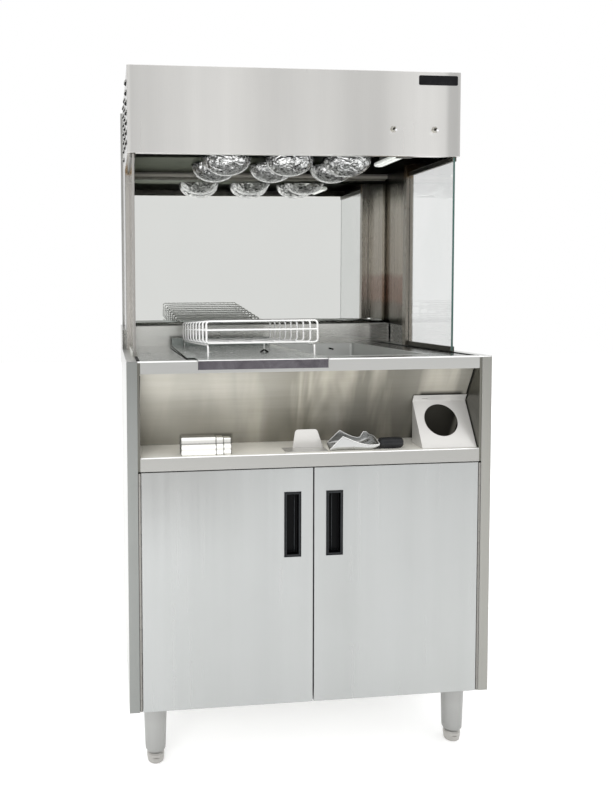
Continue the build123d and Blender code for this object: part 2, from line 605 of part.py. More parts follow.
# ---------------------------------------------------------------------------
# Electrical parts inside the hood
# ---------------------------------------------------------------------------
with BuildPart() as junction_box:
    slab(300, 404, 640, DEPTH - T, 1600, 1680)
    slab(302, 402, 642, DEPTH - T - 2, 1602, 1678, Mode.SUBTRACT)
    with Locations(Location((352, F + DEPTH - T - 2, 1640), (90, 0, 0))):
        Cylinder(10.4, 10, mode=Mode.SUBTRACT)
junction_box.part.label = "junction_box"

with BuildPart() as cable_gland:
    with BuildSketch(Plane(origin=(352, F + DEPTH, 1640), x_dir=(1, 0, 0), z_dir=(0, 1, 0))):
        RegularPolygon(13.5, 6)
    extrude(amount=REAR_PROUD)
    with Locations(Location((352, F + DEPTH - 6, 1640), (90, 0, 0))):
        Cylinder(10.0, 12)
    with Locations(Location((352, F + DEPTH, 1640), (90, 0, 0))):
        Cylinder(5.0, 60, mode=Mode.SUBTRACT)
    chamfer(cable_gland.faces().sort_by(Axis.Y)[-1].edges(), 0.8)
cable_gland.part.label = "cable_gland"

with BuildPart() as panel_screws:
    for x in (-430, -215, 0, 215, 430):
        for z in (1015, 1725):
            with Locations(Location((x, F + DEPTH + 1.1, z), (90, 0, 0))):
                Cylinder(4.0, 2.2)
    for z in (1130, 1260, 1390, 1520, 1620):
        for s in (-1, 1):
            with Locations(Location((s * 430, F + DEPTH + 1.1, z), (90, 0, 0))):
                Cylinder(4.0, 2.2)
panel_screws.part.label = "panel_screws"

# ---------------------------------------------------------------------------
# Lift-out tray and wire rack
# ---------------------------------------------------------------------------
TRAY_Z = RIM_Z + CLEAR + T       # upper face at the front
TRAY_ANGLE = math.atan(DECK_FALL)
TRAY_DIR = Vector(0, math.cos(TRAY_ANGLE), -math.sin(TRAY_ANGLE))


def tray_z(depth):
    """Height of the tray's upper face."""
    return TRAY_Z - DECK_FALL * (depth - 22)


with BuildPart() as tray:
    # lip over the fascia and level tongue across the rim
    slab(TONGUE_X0, TONGUE_X1, -FRONT_PROUD, -CLEAR, 981.0, TRAY_Z)
    slab(TONGUE_X0, TONGUE_X1, -FRONT_PROUD, 22, TRAY_Z - T, TRAY_Z)
    # board lying parallel to the deck
    tray_plane = Plane(origin=(0, F + 22, TRAY_Z), x_dir=(1, 0, 0),
                       z_dir=(0, math.sin(TRAY_ANGLE), math.cos(TRAY_ANGLE)))
    run = math.cos(TRAY_ANGLE)
    with BuildSketch(tray_plane) as board:
        with BuildLine():
            Polyline((TONGUE_X0, -0.05), (TONGUE_X0, (TRAY_D0 - 22) / run), (TRAY_X0, (TRAY_D0 - 22) / run),
                     (TRAY_BACK_X0, (TRAY_D1 - 22) / run), (TRAY_X1, (TRAY_D1 - 22) / run),
                     (TRAY_X1, (TRAY_D0 - 22) / run), (TONGUE_X1, 0), (TONGUE_X1, -0.05), close=True)
        make_face()
    extrude(amount=-T)
    # rear upstand, its lower edge resting on the deck
    slab(TRAY_BACK_X0, TRAY_X1, TRAY_D1 - T, TRAY_D1, deck_z(TRAY_D1) + CLEAR, tray_z(TRAY_D1) + 23.6)
tray.part.label = "tray"

RACK_ANGLE = math.radians(3.55)
RACK_BASE = tray_z(RACK_D) + CLEAR          # foot level of the rack's front legs
RACK_X0 = -252.0
RACK_YAW = math.radians(0.45)


def rack_point(x, run, up):
    """Rack-local position (x across, run along its length, up) in the part frame."""
    dy = run * math.cos(RACK_ANGLE) + up * math.sin(RACK_ANGLE)
    dz = -run * math.sin(RACK_ANGLE) + up * math.cos(RACK_ANGLE)
    px = (x - RACK_X0) * math.cos(RACK_YAW) - dy * math.sin(RACK_YAW)
    py = (x - RACK_X0) * math.sin(RACK_YAW) + dy * math.cos(RACK_YAW)
    return Vector(RACK_X0 + px, F + RACK_D + py, RACK_BASE + dz)


RACK_ACROSS = (math.cos(RACK_YAW), math.sin(RACK_YAW), 0)
ALONG = Vector(-math.cos(RACK_ANGLE) * math.sin(RACK_YAW), math.cos(RACK_ANGLE) * math.cos(RACK_YAW),
               -math.sin(RACK_ANGLE))
LOOP_Z0, LOOP_Z1 = 33.5, 88.0       # wire centre lines of each divider, above the feet
MID_Z = 66.0

with BuildPart() as rack_dividers:
    for i in range(RACK_LOOPS):
        run = i * RACK_PITCH
        # plane of the loop: x across, y up, normal against the run
        across = Vector(*RACK_ACROSS)
        loop_plane = Plane(origin=rack_point(RACK_X0, run, 0), x_dir=across, z_dir=-ALONG)
        with BuildLine(loop_plane) as loop_path:
            FilletPolyline((WIRE / 2, LOOP_Z0), (RACK_W - WIRE / 2, LOOP_Z0),
                           (RACK_W - WIRE / 2, LOOP_Z1), (WIRE / 2, LOOP_Z1),
                           radius=8, close=True)
        with BuildSketch(Plane(origin=loop_path.wire() @ 0, z_dir=loop_path.wire() % 0)):
            Circle(WIRE / 2)
        sweep(path=loop_path.wire())
        with BuildSketch(Plane(origin=rack_point(RACK_X0 + WIRE / 2, run, MID_Z), z_dir=across)):
            Circle(WIRE / 2)
        extrude(amount=RACK_W - WIRE)
rack_dividers.part.label = "rack_dividers"

RAIL_UP = LOOP_Z0 - WIRE
with BuildPart() as rack_frame:
    for x in (RACK_X0 + 6, RACK_X0 + RACK_W - 11):
        across = Vector(*RACK_ACROSS)
        rail_plane = Plane(origin=rack_point(x, 0, 0), x_dir=ALONG, z_dir=across)
        up = Vector(0, 0, 1)
        length = (RACK_LOOPS - 1) * RACK_PITCH
        rear_foot = length * math.tan(RACK_ANGLE - TRAY_ANGLE)      # rear legs are shorter
        with BuildLine(rail_plane) as rail_path:
            FilletPolyline((0, 0), (0, RAIL_UP), (length, RAIL_UP), (length, rear_foot), radius=9)
        with BuildSketch(Plane(origin=rail_path.wire() @ 0, z_dir=rail_path.wire() % 0)):
            Circle(WIRE / 2)
        sweep(path=rail_path.wire())
    for x in (RACK_X0 + 60, RACK_X0 + 116, RACK_X0 + 172, RACK_X0 + 228):
        with BuildSketch(Plane(origin=rack_point(x, -4, LOOP_Z0 + WIRE / 2 + 1.5), z_dir=ALONG)):
            Circle(1.5)
        extrude(amount=(RACK_LOOPS - 1) * RACK_PITCH + 8)
rack_frame.part.label = "rack_frame"

# ---------------------------------------------------------------------------
# Drop-in chip pan and its perforated false bottom
# ---------------------------------------------------------------------------
PAN_CX, PAN_CD = (PAN_X0 + PAN_X1) / 2, (PAN_D0 + PAN_D1) / 2
PAN_FLANGE = 9.0
# the pan hangs square to the sloping deck
PAN_PLANE = Plane(origin=(PAN_CX, F + PAN_CD, deck_z(PAN_CD)), x_dir=(1, 0, 0),
                  z_dir=(0, math.sin(TRAY_ANGLE), math.cos(TRAY_ANGLE)))
PAN_W, PAN_L = PAN_X1 - PAN_X0, PAN_D1 - PAN_D0
PAN_UP = CLEAR + T2                         # flange's upper face above the deck
with BuildPart() as pan_cavity:
    with BuildSketch(PAN_PLANE.offset(PAN_UP)):
        RectangleRounded(PAN_W - 2 * T2, PAN_L - 2 * T2, 14 - T2)
    extrude(amount=-PAN_DEEP + T2, taper=5)
    fillet(pan_cavity.faces().sort_by(Axis.Z)[0].edges(), 4.5)

with BuildPart() as dump_pan:
    with BuildSketch(PAN_PLANE.offset(PAN_UP)):
        RectangleRounded(PAN_W, PAN_L, 14)
    extrude(amount=-PAN_DEEP, taper=5)
    fillet(dump_pan.faces().sort_by(Axis.Z)[0].edges(), 5.2)
    add(pan_cavity.part, mode=Mode.SUBTRACT)
    with BuildSketch(PAN_PLANE.offset(PAN_UP - T2)):
        RectangleRounded(PAN_W + 2 * PAN_FLANGE, PAN_L + 2 * PAN_FLANGE, 18)
        RectangleRounded(PAN_W - 2.0, PAN_L - 2.0, 13, mode=Mode.SUBTRACT)
    extrude(amount=T2)
dump_pan.part.label = "dump_pan"

with BuildPart() as pan_grid:
    with BuildSketch(PAN_PLANE.offset(PAN_UP - PAN_DEEP + 22)):
        RectangleRounded(248, 574, 6)
        with GridLocations(30, 30, 8, 18):
            Circle(6, mode=Mode.SUBTRACT)
        # finger holes
        with Locations((-90, 275), (90, 275)):
            Circle(7, mode=Mode.SUBTRACT)
    extrude(amount=1.5)
    with BuildSketch(PAN_PLANE.offset(PAN_UP - PAN_DEEP + T2 + CLEAR)):
        with GridLocations(180, 480, 2, 2):
            Circle(4)
    extrude(amount=22 - T2 - CLEAR)
pan_grid.part.label = "pan_grid"

# ---------------------------------------------------------------------------
# Loose tools kept on the open shelf
# ---------------------------------------------------------------------------
SHELF_TOP = NICHE_Z + CLEAR
SCOOP_D0, SCOOP_D1 = 15.0, 95.0


def scoop_cheek(depth, tail):
    """Upright side of the scoop: tall at the mouth, low in the middle."""
    with BuildSketch(Plane.XZ.offset(-(F + depth + 1.0))) as cheek:
        with BuildLine():
            Polyline(*[(x, SHELF_TOP + z) for x, z in
                       [(44, 0), (69, 43), (79, 36), (108, 20), (130, 16)] + tail +
                       [(170, 10), (148, 0)]], close=True)
        make_face()
    extrude(cheek.sketch, amount=1.0)


with BuildPart() as scoop_body:
    slab(44, 148, SCOOP_D0, SCOOP_D1, SHELF_TOP, SHELF_TOP + 1)
    scoop_cheek(SCOOP_D0, [(170, 16)])
    scoop_cheek(SCOOP_D1 - 1, [(146, 18), (158, 40), (170, 43)])
    with BuildSketch(Plane.XZ.offset(-(F + SCOOP_D1))):
        with BuildLine():
            Polyline((148, SHELF_TOP), (170, SHELF_TOP + 10), (170, SHELF_TOP + 11.2),
                     (147, SHELF_TOP + 1), close=True)
        make_face()
    extrude(amount=SCOOP_D1 - SCOOP_D0)
    side_profile([(15, SHELF_TOP + 10.2), (15, SHELF_TOP + 16), (32, SHELF_TOP + 28), (52, SHELF_TOP + 39),
                  (75, SHELF_TOP + 43), (95, SHELF_TOP + 43), (95, SHELF_TOP + 10.2)], 169, 170)
scoop_body.part.label = "scoop_body"

with BuildPart() as scoop_handle:
    with Locations(Location((203, F + 30, SHELF_TOP + 13.4), (0, 90, 0))):
        Cylinder(13.2, 62)
    fillet(scoop_handle.edges().filter_by(GeomType.CIRCLE), 8)
    # ferrule welded below the tail of the scoop
    with BuildSketch(Plane.XZ.offset(-(F + 37))):
        with BuildLine():
            Polyline((152, SHELF_TOP + 0.2), (152, SHELF_TOP + 1.8181), (170, SHELF_TOP + 10),
                     (171, SHELF_TOP + 12), (180, SHELF_TOP + 12), (180, SHELF_TOP + 2), close=True)
        make_face()
    extrude(amount=14)
scoop_handle.part.label = "scoop_handle"

with BuildPart() as scraper_plate:
    slab(-66, 40, 14, 62, SHELF_TOP, SHELF_TOP + 1.2)
    with BuildSketch(Plane.XZ.offset(-(F + 62))):
        with BuildLine():
            Polyline((-38, SHELF_TOP), (40, SHELF_TOP), (24, SHELF_TOP + 46), (-31, SHELF_TOP + 46), close=True)
        make_face()
    extrude(amount=1.2)
    corners = scraper_plate.edges().filter_by(Axis.Y).filter_by(
        lambda e: e.center().Z > SHELF_TOP + 40)
    fillet(corners, 9)
scraper_plate.part.label = "scraper_plate"

with BuildPart() as bag_dividers:
    # three stepped channels, one inside the other, their right ends drawn out
    for inset, x1 in ((0.0, -236.0), (2.0, -217.5), (4.0, -199.0)):
        d, top, back = 10 + inset, 43 - inset, 44 - inset
        side_profile([(depth, SHELF_TOP + z) for depth, z in
                      [(d, 0), (d, 22), (d + 5, 28), (d + 5, top), (back, top), (back, 0), (back - 1.2, 0),
                       (back - 1.2, top - 1.2), (d + 6.2, top - 1.2), (d + 6.2, 27.4), (d + 1.2, 21.4),
                       (d + 1.2, 0)]], -321.5, x1)
bag_dividers.part.label = "bag_dividers"

HOLDER_X0, HOLDER_X1 = 277.0, 417.0
HOLDER_A = (8.0, SHELF_TOP)
HOLDER_B = (75.0, SHELF_TOP + 107.7)
with BuildPart() as cup_holder:
    # leaning plate, its top folded to lie along the niche back
    side_profile([HOLDER_A, HOLDER_B, (66.0, HOLDER_B[1] + 15.6), (67.3, HOLDER_B[1] + 16.3),
                  (77.0, HOLDER_B[1] - 0.4), (9.9, SHELF_TOP)], HOLDER_X0, HOLDER_X1)
    # cheeks behind the plate
    side_profile([(9.6, SHELF_TOP + 0.01), (76.0, HOLDER_B[1] - 1.2), (76.0, SHELF_TOP + 0.01)],
                 HOLDER_X0, HOLDER_X0 + T2)
    side_profile([(9.6, SHELF_TOP + 0.01), (76.0, HOLDER_B[1] - 1.2), (76.0, SHELF_TOP + 0.01)],
                 HOLDER_X1 - T2, HOLDER_X1)
    lean = math.atan2(HOLDER_B[1] - HOLDER_A[1], HOLDER_B[0] - HOLDER_A[0])
    along = Vector(0, math.cos(lean), math.sin(lean))
    centre = Vector(341.0, F + HOLDER_A[0], HOLDER_A[1]) + along * 74.5
    with BuildSketch(Plane(origin=centre, x_dir=(1, 0, 0), z_dir=(0, -math.sin(lean), math.cos(lean)))):
        Circle(43)
    extrude(amount=8, both=True, mode=Mode.SUBTRACT)
cup_holder.part.label = "cup_holder"

# ---------------------------------------------------------------------------
# Write every piece
# ---------------------------------------------------------------------------
PARTS = {
    "side_panels": side_panels.part,
    "cabinet_back": cabinet_back.part,
    "cabinet_floor": cabinet_floor.part,
    "interior_shelf": interior_shelf.part,
    "niche_shelf": niche_shelf.part,
    "niche_back": niche_back.part,
    "niche_sides": niche_sides.part,
    "worktop_front": worktop_front.part,
    "worktop_deck": worktop_deck.part,
    "backsplash": backsplash.part,
    "door_left_skin": door_left_skin.part,
    "door_right_skin": door_right_skin.part,
    "door_left_liner": door_left_liner.part,
    "door_right_liner": door_right_liner.part,
    "handle_left": handle_left.part,
    "handle_right": handle_right.part,
    "hinge_leaves_fixed": hinge_leaves_fixed.part,
    "hinge_left_door": hinge_left_door.part,
    "hinge_right_door": hinge_right_door.part,
    "hinge_pins": hinge_pins.part,
    "door_catches": door_catches.part,
    "leg_tubes": leg_tubes.part,
    "posts": posts.part,
    "upper_side_skins": upper_side_skins.part,
    "upper_back": upper_back.part,
    "mirror_pane": mirror_pane.part,
    "mirror_gasket": mirror_gasket.part,
    "mirror_head_rail": mirror_head_rail.part,
    "glass_channels": glass_channels.part,
    "side_glasses": side_glasses.part,
    "hood_front": hood_front.part,
    "hood_top": hood_top.part,
    "lamp_plate": lamp_plate.part,
    "lamp_rails": lamp_rails.part,
    "heat_lamps": heat_lamps.part,
    "lamp_caps": lamp_caps.part,
    "lamp_sockets": lamp_sockets.part,
    "light_tube": light_tube.part,
    "light_holder": light_holder.part,
    "switch_bodies": switch_bodies.part,
    "badge_plate": badge_plate.part,
    "junction_box": junction_box.part,
    "cable_gland": cable_gland.part,
    "panel_screws": panel_screws.part,
    "tray": tray.part,
    "rack_dividers": rack_dividers.part,
    "rack_frame": rack_frame.part,
    "dump_pan": dump_pan.part,
    "pan_grid": pan_grid.part,
    "scoop_body": scoop_body.part,
    "scoop_handle": scoop_handle.part,
    "scraper_plate": scraper_plate.part,
    "bag_dividers": bag_dividers.part,
    "cup_holder": cup_holder.part,
}
PARTS.update(FEET)
PARTS.update(LEVERS)
for node, piece in PARTS.items():
    piece.label = node
    export_step(piece, f"parts/{node}.step")
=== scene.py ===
import math
import random

import bmesh
import bpy
from mathutils import Matrix, Vector
from mathutils.bvhtree import BVHTree


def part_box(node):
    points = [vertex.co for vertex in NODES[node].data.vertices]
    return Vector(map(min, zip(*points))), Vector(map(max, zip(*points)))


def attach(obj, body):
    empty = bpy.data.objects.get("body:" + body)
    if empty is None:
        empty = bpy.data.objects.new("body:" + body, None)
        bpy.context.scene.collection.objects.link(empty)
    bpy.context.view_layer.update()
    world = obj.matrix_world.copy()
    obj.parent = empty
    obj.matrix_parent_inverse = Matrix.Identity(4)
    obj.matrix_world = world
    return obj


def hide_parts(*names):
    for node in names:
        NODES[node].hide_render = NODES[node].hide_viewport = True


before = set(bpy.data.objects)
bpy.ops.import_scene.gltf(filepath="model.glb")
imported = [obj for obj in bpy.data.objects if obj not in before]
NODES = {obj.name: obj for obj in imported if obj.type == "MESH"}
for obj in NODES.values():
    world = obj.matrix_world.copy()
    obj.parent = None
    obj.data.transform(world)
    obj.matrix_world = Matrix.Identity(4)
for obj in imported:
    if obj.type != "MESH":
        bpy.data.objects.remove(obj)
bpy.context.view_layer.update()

FRONT = -0.3792           # Y of the cabinet's front face, metres

# ---------------------------------------------------------------------------
# Small helpers for node materials
# ---------------------------------------------------------------------------


class Mat:
    """One node material, with short calls for adding and linking nodes."""

    def __init__(self, name):
        self.m = bpy.data.materials.new(name)
        self.m.use_nodes = True
        self.t = self.m.node_tree
        self.t.nodes.clear()
        self.out = self.t.nodes.new("ShaderNodeOutputMaterial")
        self.bsdf = self.t.nodes.new("ShaderNodeBsdfPrincipled")
        self.t.links.new(self.bsdf.outputs[0], self.out.inputs[0])
        self.coord = self.t.nodes.new("ShaderNodeTexCoord")

    def node(self, kind, **values):
        n = self.t.nodes.new("ShaderNode" + kind)
        for k, v in values.items():
            setattr(n, k, v)
        return n

    def link(self, a, b):
        self.t.links.new(a, b)

    def set(self, **values):
        for k, v in values.items():
            self.bsdf.inputs[k.replace("_", " ")].default_value = v

    def mapped(self, scale, rot=(0, 0, 0), loc=(0, 0, 0)):
        mp = self.node("Mapping")
        mp.inputs["Scale"].default_value = scale
        mp.inputs["Rotation"].default_value = rot
        mp.inputs["Location"].default_value = loc
        self.link(self.coord.outputs["Object"], mp.inputs["Vector"])
        return mp.outputs[0]

    def noise(self, vector, scale=1.0, detail=2.0, rough=0.5, distortion=0.0):
        n = self.node("TexNoise")
        n.inputs["Scale"].default_value = scale
        n.inputs["Detail"].default_value = detail
        n.inputs["Roughness"].default_value = rough
        n.inputs["Distortion"].default_value = distortion
        self.link(vector, n.inputs["Vector"])
        return n.outputs["Fac"]

    def voronoi(self, vector, scale=1.0, feature="F1", rand=1.0):
        n = self.node("TexVoronoi", feature=feature)
        n.inputs["Scale"].default_value = scale
        n.inputs["Randomness"].default_value = rand
        self.link(vector, n.inputs["Vector"])
        return n.outputs["Distance"]

    def remap(self, value, a, b, c, d, clamp=True):
        n = self.node("MapRange", clamp=clamp)
        for i, v in zip((1, 2, 3, 4), (a, b, c, d)):
            n.inputs[i].default_value = v
        self.link(value, n.inputs[0])
        return n.outputs[0]

    def smooth(self, value, a, b, c, d):
        n = self.node("MapRange", interpolation_type="SMOOTHSTEP")
        for i, v in zip((1, 2, 3, 4), (a, b, c, d)):
            n.inputs[i].default_value = v
        self.link(value, n.inputs[0])
        return n.outputs[0]

    def math(self, op, a, b=None, clamp=False):
        n = self.node("Math", operation=op, use_clamp=clamp)
        for i, v in enumerate((a, b)):
            if v is None:
                continue
            if isinstance(v, (int, float)):
                n.inputs[i].default_value = v
            else:
                self.link(v, n.inputs[i])
        return n.outputs[0]

    def mix(self, factor, a, b, blend="MIX"):
        n = self.node("Mix", data_type="RGBA", blend_type=blend)
        for sock, v in ((n.inputs[0], factor), (n.inputs[6], a), (n.inputs[7], b)):
            if isinstance(v, (int, float)):
                sock.default_value = v
            elif isinstance(v, (tuple, list)):
                sock.default_value = (*v[:3], 1.0)
            else:
                self.link(v, sock)
        return n.outputs[2]

    def ramp(self, value, stops):
        n = self.node("ValToRGB")
        el = n.color_ramp.elements
        while len(el) < len(stops):
            el.new(0.5)
        for e, (p, c) in zip(el, stops):
            e.position = p
            e.color = (*c, 1.0) if len(c) == 3 else c
        self.link(value, n.inputs[0])
        return n.outputs[0]

    def axis(self, which):
        """One coordinate of the piece, in metres, in the row frame."""
        n = self.node("SeparateXYZ")
        self.link(self.coord.outputs["Object"], n.inputs[0])
        return n.outputs["XYZ".index(which)]

    def rounded(self, radius, samples=4):
        n = self.node("Bevel", samples=samples)
        n.inputs["Radius"].default_value = radius
        return n.outputs[0]

    def edge(self, bevel_normal, lo=0.02, hi=0.35):
        """1 along edges, 0 on flats, from the rounded normal against the true one."""
        g = self.node("NewGeometry")
        d = self.node("VectorMath", operation="DOT_PRODUCT")
        self.link(bevel_normal, d.inputs[0])
        self.link(g.outputs["Normal"], d.inputs[1])
        inv = self.math("SUBTRACT", 1.0, d.outputs["Value"])
        return self.remap(inv, lo, hi, 0.0, 1.0)

    def bump(self, height, strength, distance, normal=None):
        n = self.node("Bump")
        n.inputs["Strength"].default_value = strength
        n.inputs["Distance"].default_value = distance
        self.link(height, n.inputs["Height"])
        if normal is not None:
            self.link(normal, n.inputs["Normal"])
        return n.outputs[0]


GRAIN = {"x": (10, 900, 900), "y": (900, 10, 900), "z": (900, 900, 10)}
BANDS = {"x": (0.6, 9, 9), "y": (9, 0.6, 9), "z": (9, 9, 0.35)}


def steel(name, base, grain="z", rough=0.3, vary=0.05, rough_vary=0.03, fine=0.15, edge=0.0016,
          edge_light=0.25, grads=(), marks=0.25, waves=0.0, seed=0.0, metal=1.0, extra=None, graze=None):
    """Brushed stainless sheet: fine grain lines, soft broad bands, faint handling marks, edges painted lighter, partly
    rubbed by use and partly a painted highlight where the rounded edges catch the light.
    """
    m = Mat(name)
    m.set(Metallic=metal, IOR=1.5)
    if graze is not None:
        # painted reflection: the bright sheen at a flat angle is dimmed towards the right and the front of the sheet
        side = m.smooth(m.axis("X"), -0.05, 0.28, 0.0, 1.0)
        near = m.smooth(m.axis("Y"), FRONT + 0.405, FRONT + 0.370, 0.0, 1.0)
        dimmed_sheen = m.math("MAXIMUM", side, near)
        m.link(m.mix(dimmed_sheen, graze, tuple(c * 0.30 for c in graze)), m.bsdf.inputs["Specular Tint"])
    shift = (seed * 0.37, seed * 0.21, seed * 0.53)
    g = m.noise(m.mapped(GRAIN[grain], loc=shift), 1.0, 3.0, 0.65)
    broad = m.noise(m.mapped(BANDS[grain], loc=shift), 1.0, 2.0, 0.5)
    cloud = m.noise(m.mapped((3.1, 3.1, 3.1), loc=shift), 1.0, 4.0, 0.6, 0.6)
    lo = tuple(c * (1 - vary) for c in base)
    hi = tuple(min(1.0, c * (1 + vary)) for c in base)
    col = m.mix(m.remap(broad, 0.32, 0.68, 0, 1), lo, hi)
    # grain lines, a touch darker in the scratches
    col = m.mix(m.remap(g, 0.40, 0.75, 0.0, fine * 0.35), col, tuple(c * 0.62 for c in base))
    # handling marks: faint, warmer patches
    col = m.mix(m.remap(cloud, 0.52, 0.78, 0.0, marks * 0.35), col, tuple(c * k for c, k in zip(base, (0.86, 0.84, 0.80))))
    for axis, stops in grads:
        # slow change of tone across the sheet: (position in metres, factor or tint) pairs
        p0, p1 = stops[0][0], stops[-1][0]
        v = m.remap(m.axis(axis), p0, p1, 0.0, 1.0)
        top = max(max(f) if isinstance(f, tuple) else f for _, f in stops)
        r = m.ramp(v, [((p - p0) / (p1 - p0), tuple(c / top for c in f) if isinstance(f, tuple) else (f / top,) * 3)
                       for p, f in stops])
        col = m.mix(1.0, col, r, "MULTIPLY")
        if top != 1.0:
            col = m.mix(1.0, col, (top,) * 3, "MULTIPLY")
    if extra:
        col = extra(m, col)
    bev = m.rounded(edge)
    e = m.edge(bev)
    # painted highlight, partly rubbed wear: the colour turns lighter along the rounded edges
    col = m.mix(m.math("MULTIPLY", e, edge_light), col, tuple(min(1.0, c * 1.35) for c in base))
    m.link(col, m.bsdf.inputs["Base Color"])
    r = m.remap(m.noise(m.mapped(tuple(s * 0.12 for s in GRAIN[grain]), loc=shift), 1.0, 2.0, 0.6), 0.3, 0.7,
                rough - rough_vary, rough + rough_vary)
    r = m.math("ADD", r, m.remap(cloud, 0.5, 0.8, 0.0, 0.07 * marks * 4))
    m.link(r, m.bsdf.inputs["Roughness"])
    n = m.bump(g, 0.25 * fine, 0.00006, bev)
    if waves:
        w = m.noise(m.mapped((1.3, 1.3, 1.0), loc=shift), 2.2, 1.0, 0.4)
        n = m.bump(w, 0.35, 0.0012 * waves, n)
    m.link(n, m.bsdf.inputs["Normal"])
    return m.m


def facing(m, axis, sign, lo=0.5, hi=0.8):
    """1 where the surface faces one way along an axis, 0 elsewhere."""
    g = m.node("NewGeometry")
    sep = m.node("SeparateXYZ")
    m.link(g.outputs["True Normal"], sep.inputs[0])
    v = sep.outputs["XYZ".index(axis)]
    return m.remap(m.math("MULTIPLY", v, float(sign)), lo, hi, 0.0, 1.0)


def plastic(name, base, rough=0.38, grain=1400.0, bump=0.25, edge=0.0012, edge_col=None, speck=0.2, coat=0.0,
            dust=0.0, spec=0.25, extra=None):
    """Moulded plastic: fine texture, edges rubbed shiny, and lighter along the edges, partly wear and partly a painted
    highlight.
    """
    m = Mat(name)
    m.set(Metallic=0.0, IOR=1.49, Specular_IOR_Level=spec)
    if coat:
        m.set(Coat_Weight=coat, Coat_Roughness=0.08)
    t = m.noise(m.mapped((grain, grain, grain)), 1.0, 3.0, 0.6)
    c = m.noise(m.mapped((14, 14, 14)), 1.0, 4.0, 0.6, 0.4)
    col = m.mix(m.remap(c, 0.35, 0.7, 0.0, 1.0), tuple(v * 0.8 for v in base), tuple(min(1, v * 1.25 + 0.004) for v in base))
    col = m.mix(m.remap(t, 0.45, 0.8, 0.0, speck * 0.4), col, tuple(min(1, v * 1.6 + 0.02) for v in base))
    if dust:
        col = m.mix(m.remap(c, 0.5, 0.75, 0.0, dust), col, (0.42, 0.40, 0.36))
    if extra:
        col = extra(m, col)
    bev = m.rounded(edge)
    e = m.edge(bev, 0.03, 0.4)
    # painted highlight, partly rubbed wear: the edges are mixed lighter
    col = m.mix(m.math("MULTIPLY", e, 0.55), col, edge_col or tuple(min(1, v * 2.2 + 0.05) for v in base))
    m.link(col, m.bsdf.inputs["Base Color"])
    r = m.remap(c, 0.3, 0.7, rough - 0.07, rough + 0.07)
    r = m.math("SUBTRACT", r, m.math("MULTIPLY", e, 0.12), clamp=True)
    m.link(r, m.bsdf.inputs["Roughness"])
    m.link(m.bump(t, bump, 0.00012, bev), m.bsdf.inputs["Normal"])
    return m.m


def paint(obj, material):
    """Gives a CAD node or a new piece its material."""
    if obj.material_slots:
        for s in obj.material_slots:
            s.material = material
    else:
        obj.data.materials.append(material)


# ---------------------------------------------------------------------------
# Materials
# ---------------------------------------------------------------------------
F = FRONT


def stile_tone(m, col):
    """Painted shade: the front faces of the stiles are painted darker than the flat sides, the left one more so."""
    front = facing(m, "Y", -1)
    side = m.remap(m.axis("X"), -0.1, 0.1, 0.0, 1.0)
    tone = m.mix(side, (0.44, 0.45, 0.445), (0.55, 0.54, 0.515))
    return m.mix(front, col, m.mix(1.0, col, tone, "MULTIPLY"))


def shelf_tone(m, col):
    """Painted shade: the shelf's front-facing lip is painted darker than its near-white upper face."""
    return m.mix(facing(m, "Y", -1), col, m.mix(1.0, col, (0.32, 0.325, 0.335), "MULTIPLY"))


def tray_tone(m, col):
    """The lip over the fascia is dark with heat and use."""
    lip = m.math("MULTIPLY", facing(m, "Y", -1), m.remap(m.axis("Y"), F - 0.0005, F - 0.001, 0.0, 1.0))
    c = m.noise(m.mapped((22, 22, 22)), 1.0, 4.0, 0.65, 0.8)
    dark = m.mix(m.remap(c, 0.4, 0.72, 0.0, 1.0), (0.100, 0.092, 0.104), (0.165, 0.156, 0.170))
    return m.mix(lip, col, dark)


def post_tone(m, col):
    """Brown heat tint at the top of the posts; the right post is painted darker, as painted shade; the faces towards
    the mirror are painted pale, as painted light.
    """
    z = m.axis("Z")
    tint = m.smooth(z, 1.492, 1.506, 0.0, 0.75)
    col = m.mix(tint, col, (0.36, 0.22, 0.09))
    right = m.remap(m.axis("X"), -0.1, 0.1, 0.0, 1.0)
    col = m.mix(right, col, m.mix(1.0, col, (0.62, 0.60, 0.56), "MULTIPLY"))
    return m.mix(facing(m, "Y", 1), col, (0.90, 0.86, 0.84))


